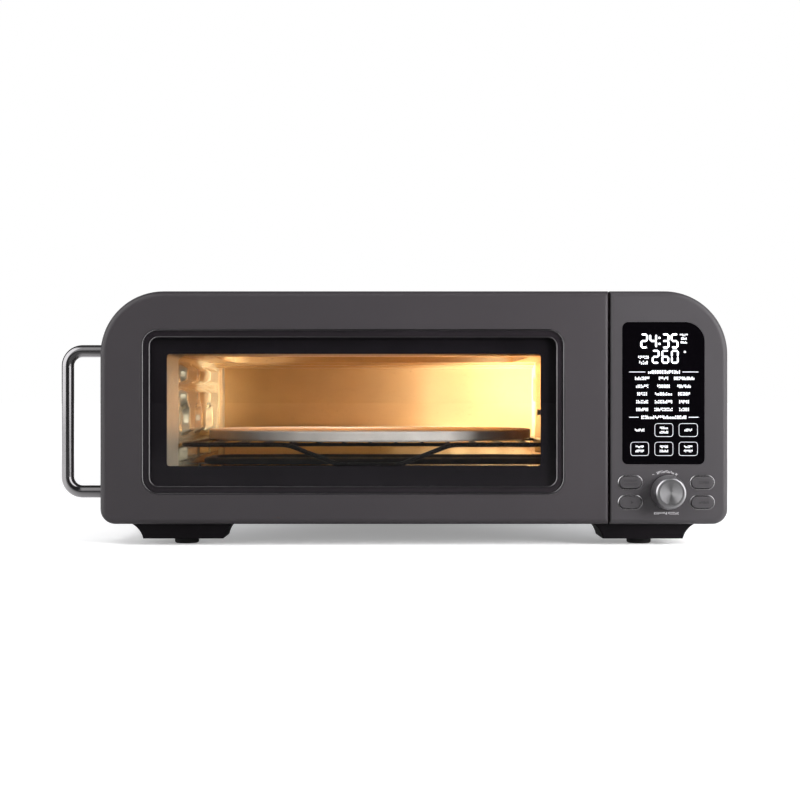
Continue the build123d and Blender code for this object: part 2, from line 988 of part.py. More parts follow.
def make_hinge_screws():
    screws = []
    face = frame_face - hinge_foot_thickness
    for x, z in hinge_screw_places():
        head = rod((x, face - hinge_screw_head, z), (x, face, z), screw_head_diameter / 2)
        shank = rod((x, face, z), (x, frame_face + screw_shank_length, z), screw_shank_diameter / 2)
        screws.append(head + shank)
    return screws


# Control panel
def display_outline(inset=0.0):
    return outline(
        display_left + inset,
        display_right - inset,
        display_bottom + inset,
        display_top - inset,
        [
            display_corner_bottom - inset,
            display_corner_bottom - inset,
            display_corner_large - inset,
            display_corner_top_left - inset,
        ],
    )


def button_places():
    return [(x, z) for x in button_columns for z in button_rows]


def pill(x, z, grow=0.0):
    """A button's outline, with round ends."""
    return Pos(x, z) * SlotOverall(button_length + 2 * grow, button_height + 2 * grow)


def make_control_panel():
    """The moulded panel beside the door, with the display's recess and openings for the controls."""
    panel = soften_front(plate(panel_outline(), 0, frame_face), panel_left, 1)
    panel -= plate(panel_outline(panel_wall), panel_wall, frame_face)
    panel -= plate(display_outline(), -1, 1 + display_glass_thickness)
    panel -= plate(display_outline(display_ledge), -1, panel_wall + 2)
    for x, z in button_places():
        panel -= plate(pill(x, z, fit_gap), -1, panel_wall + 2)
    knob_hole = knob_stem_radius + knob_hole_gap
    panel -= rod((knob_x, -1, knob_z), (knob_x, panel_wall + 1, knob_z), knob_hole)
    for x, z in board_posts():
        post = rod((x, panel_wall, z), (x, board_face, z), board_post_diameter / 2)
        panel += post
    return panel


def board_posts():
    """Moulded posts behind the panel that carry the control board."""
    low, high = door_bottom + board_post_inset, body_top - board_post_top_inset
    left = panel_left + board_post_left
    return [
        (left, low),
        (left, high),
        (body_right - board_post_right, low),
        (body_right - board_post_upper_right, high),
    ]


def make_display_glass():
    return plate(display_outline(fit_gap), 0, display_glass_thickness)


def make_display_module():
    """The lit module behind the glass, seated on it through the panel's window."""
    module = plate(display_outline(display_ledge + 2 * fit_gap), display_glass_thickness, display_module_depth)
    back = display_glass_thickness + display_module_depth
    x = (display_left + display_right) / 2
    z = (display_bottom + display_top) / 2
    for side in (-1, 1):
        row_z = z + side * (display_top - display_bottom) * display_pin_row_share
        low, high = row_z - display_pin_row_height / 2, row_z + display_pin_row_height / 2
        half = display_pin_row_length / 2
        module += block(x - half, x + half, back, board_face, low, high)
    return module


def make_control_board():
    """The circuit board behind the panel, with a small switch under each button."""
    board = plate(panel_outline(panel_wall + board_margin), board_face, board_thickness)
    for x, z in button_places():
        half = tact_switch_size / 2
        board += block(x - half, x + half, board_face - tact_switch_height, board_face, z - half, z + half)
    return board


def make_encoder_body():
    """The rotary switch's case: a square back and a round bush that guides the shaft."""
    half = encoder_size / 2
    body = block(
        knob_x - half, knob_x + half, board_face - encoder_depth, board_face, knob_z - half, knob_z + half
    )
    bush_front = board_face - encoder_depth - encoder_bush_length
    body += rod(
        (knob_x, bush_front, knob_z), (knob_x, board_face - encoder_depth, knob_z), encoder_bush_diameter / 2
    )
    bore = shaft_diameter / 2 + shaft_running_gap
    body -= rod((knob_x, bush_front - 1, knob_z), (knob_x, board_face - encoder_wall, knob_z), bore)
    chamber = plunger_diameter / 2 + shaft_running_gap
    chamber_front = board_face - encoder_wall - plunger_thickness - plunger_room
    body -= rod((knob_x, chamber_front, knob_z), (knob_x, board_face - encoder_wall, knob_z), chamber)
    return body


def make_encoder_plunger():
    """The disc in the encoder that slides when the knob is pushed and lets the shaft turn."""
    back = board_face - encoder_wall - plunger_room
    return rod((knob_x, back - plunger_thickness, knob_z), (knob_x, back, knob_z), plunger_diameter / 2)


def make_encoder_shaft():
    """The turning shaft, from the plunger to the knob's bore."""
    back = board_face - encoder_wall - plunger_room - plunger_thickness - seat_gap
    front = knob_front_y + knob_length - knob_bore_depth
    shaft = rod((knob_x, front, knob_z), (knob_x, back, knob_z), shaft_diameter / 2)
    flat_depth = shaft_diameter / 4
    shaft -= block(
        knob_x - shaft_diameter,
        knob_x + shaft_diameter,
        front - 1,
        front + shaft_flat_length,
        knob_z + shaft_diameter / 2 - flat_depth,
        knob_z + shaft_diameter,
    )
    return shaft


def make_select_knob():
    """A turned metal knob: drafted side, rounded rim and a shallow dish in its face."""
    arc_start = (knob_face_radius, knob_length - knob_rim_radius)
    arc_end = (knob_face_radius - knob_rim_radius, knob_length)
    bend = knob_rim_radius * (1 - cos(radians(45)))
    arc_middle = (knob_face_radius - bend, knob_length - bend)
    profile = make_face(
        [
            Line((0, 0), (knob_base_radius, 0)),
            Line((knob_base_radius, 0), (knob_base_radius, knob_foot_band)),
            Line((knob_base_radius, knob_foot_band), arc_start),
            ThreePointArc(arc_start, arc_middle, arc_end),
            Line(arc_end, (0, knob_length)),
            Line((0, knob_length), (0, 0)),
        ]
    )
    knob = revolve(Plane.XZ * profile, axis=Axis.Z)
    dish_edge = knob_face_radius - knob_rim_radius - knob_land
    ball = (dish_edge**2 + knob_dish**2) / (2 * knob_dish)
    knob -= Pos(0, 0, knob_length + ball - knob_dish) * Sphere(ball)
    hollow = Pos(0, 0, knob_hollow_depth / 2) * Cylinder(knob_base_radius - knob_wall, knob_hollow_depth)
    knob -= hollow
    knob += Pos(0, 0, knob_bore_depth / 2) * Cylinder(knob_stem_radius, knob_bore_depth)
    knob -= Pos(0, 0, knob_bore_depth / 2) * Cylinder(shaft_diameter / 2, knob_bore_depth)
    return Pos(knob_x, knob_base_y, knob_z) * Rot(90, 0, 0) * knob


def make_buttons():
    """Pill-shaped caps with a flange behind the panel and a stem to the switch."""
    buttons = []
    for x, z in button_places():
        cap = plate(pill(x, z), -button_proud, button_proud + panel_wall + button_clearance)
        cap = fillet(edges_at_y(cap, -button_proud), button_edge_radius)
        flange_face = panel_wall + button_clearance
        cap += plate(pill(x, z, button_flange), flange_face, button_flange_thickness)
        stem_end = board_face - tact_switch_height - button_travel - seat_gap
        cap += rod((x, flange_face, z), (x, stem_end, z), button_stem_diameter / 2)
        buttons.append(cap)
    return buttons


# Cavity
def pad(face, sign, wall_x):
    """A pressed pad on a side wall, hollow behind, drafted on all sides."""
    reach = sign * runner_reach
    outer = extrude(Plane.YZ.offset(wall_x) * face, amount=reach, taper=runner_taper)
    inner = Pos(-sign * liner_sheet, 0, 0) * outer
    return outer, inner


def runner_faces(stations):
    """The pads of one wall: supports under the rack, waisted pads over it, and an upper row."""
    seat = rack_height - rack_wire / 2 - seat_gap
    ledge_drop = rack_side_gap * tan(radians(runner_taper))
    faces = []
    for y in stations:
        lower_top = seat + ledge_drop
        lower = RectangleRounded(runner_length, lower_runner_height, runner_corner)
        faces.append(Pos(y, lower_top - lower_runner_height / 2) * lower)
        upper = RectangleRounded(runner_length, upper_runner_height, runner_corner)
        faces.append(Pos(y, upper_runner_bottom + upper_runner_height / 2) * upper)
        faces.append(waisted_face(y))
    return faces


def waisted_face(y):
    """A pad with a wide head, a narrow stem and a flared foot."""
    head, stem, flare = runner_length / 2, middle_stem_width / 2, middle_flare_width / 2
    top, low = middle_runner_top, middle_runner_bottom
    shoulder = top - middle_runner_head
    points = [
        (y - flare, low),
        (y + flare, low),
        (y + stem, low + middle_flare_height),
        (y + stem, shoulder - middle_flare_height),
        (y + head, shoulder),
        (y + head, top),
        (y - head, top),
        (y - head, shoulder),
        (y - stem, shoulder - middle_flare_height),
        (y - stem, low + middle_flare_height),
    ]
    return make_face(Polyline(*points, close=True))


def press(wall, faces, sign, wall_x):
    """Press pads into a wall sheet."""
    pads = [pad(face, sign, wall_x) for face in faces]
    for outer, _ in pads:
        wall += outer
    for _, inner in pads:
        wall -= inner
    return wall


def make_cavity_left_wall():
    wall = block(cavity_left - liner_sheet, cavity_left, cavity_front, cavity_back, cavity_bottom, cavity_top)
    return press(wall, runner_faces(runner_stations), 1, cavity_left)


def make_cavity_right_wall():
    """The wall beside the controls: runners at both ends, fan slots, the lamp's window and heater holes."""
    wall = block(cavity_right, wall_outer_right, cavity_front, cavity_back, cavity_bottom, cavity_top)
    front = runner_faces(runner_stations[:1])
    back = [face for face in runner_faces(runner_stations[-1:]) if face.center().Y < rack_height]
    wall = press(wall, front + back, -1, cavity_right)
    count = int(fan_grille_radius // fan_slot_pitch)
    for row in range(-count, count + 1):
        z = row * fan_slot_pitch
        length = 2 * (fan_grille_radius**2 - z**2) ** 0.5 + fan_slot_width
        slot = Pos(fan_y, fan_z + z) * SlotOverall(length, fan_slot_width)
        wall -= side_plate(slot, cavity_right - 1, liner_sheet + 2)
    opening = Pos(lamp_y, lamp_z) * RectangleRounded(
        lamp_opening_width, lamp_opening_height, lamp_opening_radius
    )
    wall -= side_plate(opening, cavity_right - 1, liner_sheet + 2)
    hole = heater_diameter / 2 + heater_hole_gap
    for y, z in heater_ends(lower_heater_height):
        wall -= rod((cavity_right - 1, y, z), (wall_outer_right + 1, y, z), hole)
    probe_hole = probe_diameter / 2 + heater_hole_gap
    wall -= rod((cavity_right - 1, probe_y, probe_z), (wall_outer_right + 1, probe_y, probe_z), probe_hole)
    return wall


def make_cavity_back_wall():
    """The plain rear sheet, stiffened by a rim folded to the rear all round."""
    left, right = cavity_left - liner_sheet, wall_outer_right
    back = cavity_back + liner_sheet
    wall = block(left, right, cavity_back, back, cavity_bottom, cavity_top)
    rim_back = back + back_wall_rim
    rim = block(left, right, back, rim_back, cavity_bottom, cavity_top)
    rim -= block(
        left + liner_sheet,
        right - liner_sheet,
        back,
        rim_back,
        cavity_bottom + liner_sheet,
        cavity_top - liner_sheet,
    )
    return wall + rim


def make_cavity_ceiling():
    """The top sheet, drawn up into a pan that holds the upper heater, with a stepped rear edge."""
    left, right = cavity_left - liner_sheet, wall_outer_right
    back = cavity_back + liner_sheet
    sheet_part = block(left, right, cavity_front, back, cavity_top, cavity_top + liner_sheet)
    width = cavity_right - cavity_left - 2 * ceiling_pan_margin
    depth = ceiling_pan_back - ceiling_pan_front
    middle_y = (ceiling_pan_front + ceiling_pan_back) / 2
    outer = RectangleRounded(width + 2 * liner_sheet, depth + 2 * liner_sheet, ceiling_pan_radius + liner_sheet)
    inner = RectangleRounded(width, depth, ceiling_pan_radius)
    place_face = Pos(cavity_middle, middle_y, cavity_top)
    dome = extrude(place_face * outer, amount=ceiling_pan_height + liner_sheet)
    sheet_part += dome
    sheet_part -= extrude(place_face * inner, amount=ceiling_pan_height)
    for step in range(ceiling_step_count):
        y1 = cavity_back - step * ceiling_step_pitch
        y0 = y1 - ceiling_step_pitch
        drop = ceiling_step_drop * (ceiling_step_count - step)
        sheet_part += block(cavity_left, cavity_right, y0, y1, cavity_top - drop, cavity_top)
    hole = heater_diameter / 2 + heater_hole_gap
    for y, z in heater_ends(upper_heater_height):
        pan_side = cavity_right - ceiling_pan_margin
        sheet_part -= rod((pan_side - 1, y, z), (pan_side + liner_sheet + 1, y, z), hole)
    return sheet_part


def make_cavity_floor():
    left, right = cavity_left - liner_sheet, wall_outer_right
    back = cavity_back + liner_sheet
    return block(left, right, cavity_front, back, cavity_bottom - liner_sheet, cavity_bottom)


def make_insulation():
    """Glass wool over the cavity, down its left side and behind it."""
    gap = insulation_gap
    left = cavity_left - liner_sheet - gap
    front = cavity_front + insulation_end_gap
    pan_top = cavity_top + ceiling_pan_height + liner_sheet + gap
    right = cavity_right - ceiling_pan_margin
    top = block(left, right, front, cavity_back, pan_top, pan_top + insulation_thickness)
    side = block(
        left - insulation_thickness,
        left,
        front,
        cavity_back,
        cavity_bottom,
        pan_top + insulation_thickness,
    )
    return top + side


# Heaters
def heater_ends(height):
    return [(heater_front_leg, height), (heater_back_leg, height)]


def make_heater(height):
    """A hairpin tube whose ends pass through the right wall."""
    left = cavity_left + heater_side_gap
    if height > cavity_top:
        left = cavity_left + ceiling_pan_margin + heater_side_gap
    right = wall_outer_right + heater_tail
    path = FilletPolyline(
        (right, heater_front_leg, height),
        (left, heater_front_leg, height),
        (left, heater_back_leg, height),
        (right, heater_back_leg, height),
        radius=heater_bend_radius,
    )
    return tube_along(path, heater_diameter / 2)


def make_heater_terminals():
    """Ceramic end beads with a steel pin on each heater end."""
    terminals = []
    start = wall_outer_right + heater_tail
    for height in (lower_heater_height, upper_heater_height):
        for y, z in heater_ends(height):
            bead = rod((start, y, z), (start + terminal_length, y, z), terminal_diameter / 2)
            pin_start = start + terminal_length
            bead += rod((pin_start, y, z), (pin_start + terminal_pin_length, y, z), terminal_pin_diameter / 2)
            terminals.append(bead)
    return terminals


def make_heater_brackets():
    """A saddle at each hairpin's closed end: one on the left wall and one under the pan's roof."""
    t = heater_bracket_thickness
    radius = heater_diameter / 2 + fit_gap
    middle_y = (heater_front_leg + heater_back_leg) / 2
    y0, y1 = middle_y - heater_bracket_width / 2, middle_y + heater_bracket_width / 2
    tube_x = cavity_left + heater_side_gap
    z = lower_heater_height
    lower = block(cavity_left, cavity_left + t, y0, y1, z - 2 * radius, z - radius)
    lower += block(cavity_left, tube_x + radius, y0, y1, z - radius - t, z - radius)
    tube_x += ceiling_pan_margin
    z = upper_heater_height
    roof = cavity_top + ceiling_pan_height
    upper = block(tube_x - radius - t, tube_x - radius, y0, y1, z - radius - t, roof)
    upper += block(tube_x - radius - t, tube_x + radius, y0, y1, z - radius - t, z - radius)
    return [lower, upper]


# Fan behind the right wall
def make_fan_housing():
    """A shallow pressed box outside the right wall, round the fan."""
    x0 = wall_outer_right
    outer = Pos(fan_y, fan_z) * RectangleRounded(fan_housing_width, fan_housing_height, fan_housing_radius)
    inner_radius = fan_housing_radius - liner_sheet
    inner = Pos(fan_y, fan_z) * RectangleRounded(
        fan_housing_width - 2 * liner_sheet, fan_housing_height - 2 * liner_sheet, inner_radius
    )
    flange = Pos(fan_y, fan_z) * RectangleRounded(
        fan_housing_width + 2 * fan_housing_flange, fan_housing_height, fan_housing_radius
    )
    housing = side_plate(outer, x0, fan_housing_depth) + side_plate(flange, x0, liner_sheet)
    housing -= side_plate(inner, x0 - 1, 1 + fan_housing_depth - liner_sheet)
    return housing - fan_axis_rod(x0, fan_housing_back + 1, fan_housing_bore / 2)


def make_fan_blade():
    """A flat wheel with radial vanes facing the grille."""
    face_x = wall_outer_right + fan_wall_gap
    disc_x = face_x + fan_vane_depth
    wheel = rod((disc_x, fan_y, fan_z), (disc_x + fan_disc_thickness, fan_y, fan_z), fan_radius)
    wheel += rod((face_x + fan_hub_sink, fan_y, fan_z), (disc_x, fan_y, fan_z), fan_hub_radius)
    for vane in range(fan_vane_count):
        angle = vane * 360 / fan_vane_count
        middle_radius = (fan_hub_radius + fan_radius) / 2 - fan_vane_root
        vane_plate = Pos(face_x + fan_vane_depth / 2, 0, middle_radius) * Box(
            fan_vane_depth, fan_vane_thickness, fan_radius - fan_hub_radius
        )
        wheel += Pos(0, fan_y, fan_z) * Rot(angle, 0, 0) * vane_plate
    return wheel - fan_axis_rod(face_x, disc_x + fan_disc_thickness + 1, fan_shaft_diameter / 2)


def fan_axis_rod(x0, x1, radius):
    return rod((x0, fan_y, fan_z), (x1, fan_y, fan_z), radius)


def make_fan_shaft():
    start = wall_outer_right + fan_wall_gap + fan_hub_sink
    end = motor_face + motor_stack + motor_bearing_length - fan_shaft_inset
    return fan_axis_rod(start, end, fan_shaft_diameter / 2)


def make_fan_motor():
    """The laminated stack with a bearing cup at each side, on four standoffs."""
    half_y, half_z = motor_width / 2, motor_height / 2
    stack = block(
        motor_face, motor_face + motor_stack, fan_y - half_y, fan_y + half_y, fan_z - half_z, fan_z + half_z
    )
    stack += fan_axis_rod(motor_face - motor_bearing_length, motor_face, motor_bearing_diameter / 2)
    stack += fan_axis_rod(
        motor_face + motor_stack, motor_face + motor_stack + motor_bearing_length, motor_bearing_diameter / 2
    )
    for y in (-1, 1):
        for z in (-1, 1):
            spot_y = fan_y + y * motor_standoff_spacing / 2
            spot_z = fan_z + z * motor_standoff_spacing / 2
            stack += rod(
                (fan_housing_back, spot_y, spot_z), (motor_face, spot_y, spot_z), motor_standoff_diameter / 2
            )
    bore = fan_shaft_diameter / 2 + fan_shaft_gap
    return stack - fan_axis_rod(fan_housing_back, motor_face + motor_stack + motor_bearing_length + 1, bore)


# Lamp and probe
def make_lamp_lens():
    """The glass window over the lamp, clamped behind the wall."""
    face = Pos(lamp_y, lamp_z) * RectangleRounded(
        lamp_opening_width + 2 * lamp_lens_lap, lamp_opening_height + 2 * lamp_lens_lap, lamp_can_radius
    )
    return side_plate(face, wall_outer_right, lamp_lens_thickness)


def make_lamp_holder():
    """A steel can behind the lens, with the bulb's socket in its back."""
    x0 = wall_outer_right + lamp_lens_thickness
    width, height = lamp_opening_width + 2 * lamp_lens_lap, lamp_opening_height + 2 * lamp_lens_lap
    outer = Pos(lamp_y, lamp_z) * RectangleRounded(width, height, lamp_can_radius)
    inner = Pos(lamp_y, lamp_z) * RectangleRounded(
        width - 2 * lamp_can_wall, height - 2 * lamp_can_wall, lamp_can_radius - lamp_can_wall
    )
    can = side_plate(outer, x0, lamp_can_depth) - side_plate(inner, x0 - 1, 1 + lamp_can_depth - lamp_can_wall)
    back = x0 + lamp_can_depth
    front = back - lamp_can_wall - socket_inside
    return can + rod((front, lamp_y, lamp_z), (back + socket_outside, lamp_y, lamp_z), socket_radius)


def make_lamp_bulb():
    x1 = wall_outer_right + lamp_lens_thickness + lamp_can_depth - lamp_can_wall - socket_inside
    x0 = x1 - bulb_length
    bulb = rod((x0, lamp_y, lamp_z), (x1, lamp_y, lamp_z), bulb_radius)
    tip = [edge for edge in bulb.edges() if abs(edge.center().X - x0) < 0.01]
    return fillet(tip, bulb_tip_radius)


def make_temperature_probe():
    """A sheathed probe through the right wall, held by a nut outside."""
    start = cavity_right - probe_length / 2
    probe = rod((start, probe_y, probe_z), (cavity_right + probe_length / 2, probe_y, probe_z), probe_diameter / 2)
    nut = Pos(probe_y, probe_z) * RegularPolygon(probe_nut_width / 2, 6)
    return probe + side_plate(nut, wall_outer_right, probe_nut_thickness)


# Power electronics
def make_power_board():
    """The mains board on the right side: relays, a heat sink and standoffs to its bracket."""
    face_x = power_bracket_x - power_standoff - power_board_thickness
    y0, y1 = power_board_y - power_board_length / 2, power_board_y + power_board_length / 2
    z0, z1 = power_board_z - power_board_height / 2, power_board_z + power_board_height / 2
    board = block(face_x, face_x + power_board_thickness, y0, y1, z0, z1)
    inset = power_standoff_diameter
    for y in (y0 + inset, y1 - inset):
        for z in (z0 + inset, z1 - inset):
            board += rod(
                (face_x + power_board_thickness, y, z), (power_bracket_x, y, z), power_standoff_diameter / 2
            )
    relay_z = z0 + relay_z_inset
    for row in range(relay_count):
        y = y0 + relay_y_inset + row * (relay_length + relay_gap)
        board += block(face_x - relay_height, face_x, y, y + relay_length, relay_z, relay_z + relay_width)
    sink_y = y0 + heatsink_y_inset
    sink_top = z1 - heatsink_z_inset
    sink_low = sink_top - heatsink_width
    base_x = face_x - heatsink_base
    board += block(base_x, face_x, sink_y, sink_y + heatsink_length, sink_low, sink_top)
    step = (heatsink_width - heatsink_fin_thickness) / (heatsink_fin_count - 1)
    for fin in range(heatsink_fin_count):
        z = sink_low + fin * step
        tip_x = face_x - heatsink_height
        board += block(tip_x, base_x, sink_y, sink_y + heatsink_length, z, z + heatsink_fin_thickness)
    return board


def make_power_bracket():
    """The sheet that carries the mains board, standing on the base."""
    floor = casing_bottom + 2 * sheet
    y0, y1 = power_board_y - power_board_length / 2, power_board_y + power_board_length / 2
    top = power_board_z + power_board_height / 2
    bracket = block(power_bracket_x, power_bracket_x + sheet, y0, y1, floor, top)
    foot_x = power_bracket_x - power_bracket_foot
    return bracket + block(foot_x, power_bracket_x, y0, y1, floor, floor + sheet)


# Rack, stone and tray
def make_wire_rack():
    """A bent wire frame with a dipped front rail, a second rail behind it and cross wires."""
    z = rack_height
    middle = (rack_front + rack_back) / 2
    half_bow, half_floor = bow_width / 2, bow_floor_width / 2
    low = z - bow_drop
    front = FilletPolyline(
        (rack_left, middle, z),
        (rack_left, rack_front, z),
        (cavity_middle - half_bow, rack_front, z),
        (cavity_middle - half_floor, rack_front, low),
        (cavity_middle + half_floor, rack_front, low),
        (cavity_middle + half_bow, rack_front, z),
        (rack_right, rack_front, z),
        (rack_right, middle, z),
        radius=[rack_corner_radius] + [bow_bend_radius] * 4 + [rack_corner_radius],
    )
    back = FilletPolyline(
        (rack_left, middle, z),
        (rack_left, rack_back, z),
        (rack_right, rack_back, z),
        (rack_right, middle, z),
        radius=rack_corner_radius,
    )
    rack = tube_along(front, rack_wire / 2) + tube_along(back, rack_wire / 2)
    cross_z = z + (rack_wire - rack_cross_wire) / 2 - weld_sink
    second = rack_front + rack_second_rail
    step = (rack_right - rack_left) / (rack_cross_count + 1)
    for column in range(1, rack_cross_count + 1):
        x = rack_left + column * step
        rack += rod((x, second, cross_z), (x, rack_back, cross_z), rack_cross_wire / 2)
    tie_z = z - rack_tie_drop
    for y in (second, rack_back - rack_tie_inset):
        rack += rod((rack_left, y, tie_z), (rack_right, y, tie_z), rack_cross_wire / 2)
    return rack


def make_pizza_stone():
    """A round ceramic stone with eased edges."""
    low = rack_height + rack_wire / 2 + seat_gap
    stone = Pos(cavity_middle + stone_shift, stone_middle_y, low + stone_thickness / 2) * Cylinder(
        stone_diameter / 2, stone_thickness
    )
    return fillet(stone.edges().filter_by(GeomType.CIRCLE), stone_edge_radius)


def make_crumb_tray():
    """A shallow pressed tray with a low rim and a folded front lip."""
    left, right = cavity_left + tray_side_gap, cavity_right - tray_side_gap
    low = cavity_bottom + seat_gap
    middle_x, middle_y = (left + right) / 2, (tray_front + tray_back) / 2
    width, length = right - left, tray_back - tray_front
    outer = Pos(middle_x, middle_y, low) * RectangleRounded(width, length, tray_corner)
    inner = Pos(middle_x, middle_y, low + liner_sheet) * RectangleRounded(
        width - 2 * liner_sheet, length - 2 * liner_sheet, tray_corner - liner_sheet
    )
    tray = extrude(outer, amount=tray_rim) - extrude(inner, amount=tray_rim)
    lip = block(
        left + tray_corner,
        right - tray_corner,
        tray_front,
        tray_front + liner_sheet,
        low + tray_rim - liner_sheet,
        low + tray_lip,
    )
    return tray + lip


def place(shape):
    """Move a piece or a group of pieces from the casing's frame to the part's frame."""
    pieces = shape if isinstance(shape, list) else [shape]
    solids = [solid for piece in pieces for solid in piece.solids()]
    moved = [solid.moved(Location(origin_shift)) for solid in solids]
    return moved[0] if len(moved) == 1 else Compound(children=moved)


def build():
    """Every node's name and shape."""
    buttons = make_buttons()
    return {
        "door_frame": make_door_frame(),
        "window_bezel": make_window_bezel(),
        "outer_glass": make_outer_glass(),
        "inner_glass": make_inner_glass(),
        "glass_clips": make_glass_clips(),
        "door_liner": make_door_liner(),
        "door_seal": make_door_seal(),
        "door_handle": make_door_handle(),
        "handle_screws": make_handle_screws(),
        "hinge_blocks": make_hinge_blocks(),
        "hinge_pins": make_hinge_pins(),
        "strike_plate": make_strike_plate(),
        "door_magnet": make_door_magnet(),
        "hinge_arms": make_hinge_arms(),
        "hinge_screws": make_hinge_screws(),
        "front_frame": make_front_frame(),
        "outer_wrap": make_outer_wrap(),
        "base_pan": make_base_pan(),
        "back_panel": make_back_panel(),
        "back_screws": make_back_screws(),
        "cord_gland": make_cord_gland(),
        "legs": make_legs(),
        "rubber_feet": make_rubber_feet(),
        "leg_screws": make_leg_screws(),
        "control_panel": make_control_panel(),
        "display_glass": make_display_glass(),
        "display_module": make_display_module(),
        "control_board": make_control_board(),
        "encoder_body": make_encoder_body(),
        "encoder_plunger": make_encoder_plunger(),
        "encoder_shaft": make_encoder_shaft(),
        "select_knob": make_select_knob(),
        "upper_left_button": buttons[0],
        "lower_left_button": buttons[1],
        "upper_right_button": buttons[2],
        "lower_right_button": buttons[3],
        "cavity_left_wall": make_cavity_left_wall(),
        "cavity_right_wall": make_cavity_right_wall(),
        "cavity_back_wall": make_cavity_back_wall(),
        "cavity_ceiling": make_cavity_ceiling(),
        "cavity_floor": make_cavity_floor(),
        "insulation": make_insulation(),
        "lower_heater": make_heater(lower_heater_height),
        "upper_heater": make_heater(upper_heater_height),
        "heater_terminals": make_heater_terminals(),
        "heater_brackets": make_heater_brackets(),
        "fan_housing": make_fan_housing(),
        "fan_blade": make_fan_blade(),
        "fan_shaft": make_fan_shaft(),
        "fan_motor": make_fan_motor(),
        "lamp_lens": make_lamp_lens(),
        "lamp_holder": make_lamp_holder(),
        "lamp_bulb": make_lamp_bulb(),
        "temperature_probe": make_temperature_probe(),
        "power_board": make_power_board(),
        "power_bracket": make_power_bracket(),
        "wire_rack": make_wire_rack(),
        "pizza_stone": make_pizza_stone(),
        "crumb_tray": make_crumb_tray(),
    }


def main():
    os.makedirs("parts", exist_ok=True)
    for name, shape in build().items():
        export_step(place(shape), f"parts/{name}.step")


if __name__ == "__main__":
    main()
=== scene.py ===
"""Looks of the countertop pizza oven: materials, printed marks, pressed wall, lamps and camera.

Sizes and places are millimetres in the casing's own frame, unless a comment says metres.
"""
import json
import math
import random

import bmesh
import bpy
import numpy as np
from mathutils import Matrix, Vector


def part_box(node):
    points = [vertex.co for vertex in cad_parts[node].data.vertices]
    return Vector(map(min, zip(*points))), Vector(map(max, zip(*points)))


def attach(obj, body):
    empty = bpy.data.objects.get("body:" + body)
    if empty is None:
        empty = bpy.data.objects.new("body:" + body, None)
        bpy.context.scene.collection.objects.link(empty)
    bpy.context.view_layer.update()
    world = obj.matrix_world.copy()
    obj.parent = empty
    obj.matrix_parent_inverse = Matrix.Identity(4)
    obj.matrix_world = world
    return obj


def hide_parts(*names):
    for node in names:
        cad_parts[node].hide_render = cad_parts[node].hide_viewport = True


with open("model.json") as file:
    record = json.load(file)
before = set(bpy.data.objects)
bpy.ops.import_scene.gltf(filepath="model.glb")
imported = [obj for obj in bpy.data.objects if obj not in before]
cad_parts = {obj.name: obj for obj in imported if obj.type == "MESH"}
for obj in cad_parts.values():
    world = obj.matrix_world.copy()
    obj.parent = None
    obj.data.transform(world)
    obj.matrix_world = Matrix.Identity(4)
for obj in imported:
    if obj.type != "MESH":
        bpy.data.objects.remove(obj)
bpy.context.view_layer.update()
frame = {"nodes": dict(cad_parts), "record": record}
NODES = frame["nodes"]
MM = 0.001

# The casing's own frame: x from the middle of the front, y from the door's outer face to the back,
# z up from the table
DOOR_LEFT = -262.0
DOOR_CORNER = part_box("door_frame")[0]
FRONT = DOOR_CORNER.y / MM
MIDDLE = DOOR_CORNER.x / MM - DOOR_LEFT


def at(x, y, z):
    """A point of the casing's frame, in metres of the part's frame."""
    return Vector(((x + MIDDLE) * MM, (y + FRONT) * MM, z * MM))


# Materials
NOISE_ROUGHNESS = 0.55
NOISE_LOW, NOISE_HIGH = 0.3, 0.7  # most of the noise's values lie between these
GRAIN_DETAIL = 4.0
GRAIN_STRENGTH = 0.6


class Nodes:
    """A short way to write a node tree."""

    def __init__(self, name):
        self.material = bpy.data.materials.new(name)
        self.material.use_nodes = True
        self.tree = self.material.node_tree
        self.tree.nodes.clear()
        self.output = self.add("ShaderNodeOutputMaterial")

    def add(self, kind, links=None, **values):
        node = self.tree.nodes.new(kind)
        for key, value in values.items():
            setattr(node, key, value)
        for key, value in (links or {}).items():
            self.set(node.inputs[key], value)
        return node

    def set(self, socket, value):
        if isinstance(value, bpy.types.NodeSocket):
            self.tree.links.new(value, socket)
        elif isinstance(value, bpy.types.Node):
            self.tree.links.new(value.outputs[0], socket)
        else:
            socket.default_value = value

    def surface(self, shader):
        self.set(self.output.inputs["Surface"], shader)
        return self.material

    def place(self, scale=(1, 1, 1)):
        where = self.add("ShaderNodeTexCoord").outputs["Object"]
        return self.add("ShaderNodeMapping", {"Vector": where, "Scale": scale})

    def noise(self, size, stretch=(1, 1, 1), detail=3.0):
        """Noise whose features are about size millimetres across."""
        scale = [k / (size * MM) for k in stretch]
        links = {
            "Vector": self.place(scale), "Scale": 1.0,
            "Detail": detail, "Roughness": NOISE_ROUGHNESS,
        }
        return self.add("ShaderNodeTexNoise", links).outputs["Fac"]

    def spread(self, fac, low, high):
        """The noise's usual range spread from low to high."""
        links = {
            "Value": fac,
            "From Min": NOISE_LOW, "From Max": NOISE_HIGH, "To Min": low, "To Max": high,
        }
        return self.add("ShaderNodeMapRange", links).outputs["Result"]

    def mix(self, fac, a, b):
        node = self.add("ShaderNodeMix", data_type="RGBA")
        self.set(node.inputs["Factor"], fac)
        self.set(node.inputs[6], a)
        self.set(node.inputs[7], b)
        return node.outputs[2]

    def math(self, operation, *values):
        return self.add("ShaderNodeMath", dict(enumerate(values)), operation=operation)

    def bump(self, height, distance, strength):
        links = {"Height": height, "Distance": distance * MM, "Strength": strength}
        return self.add("ShaderNodeBump", links).outputs["Normal"]


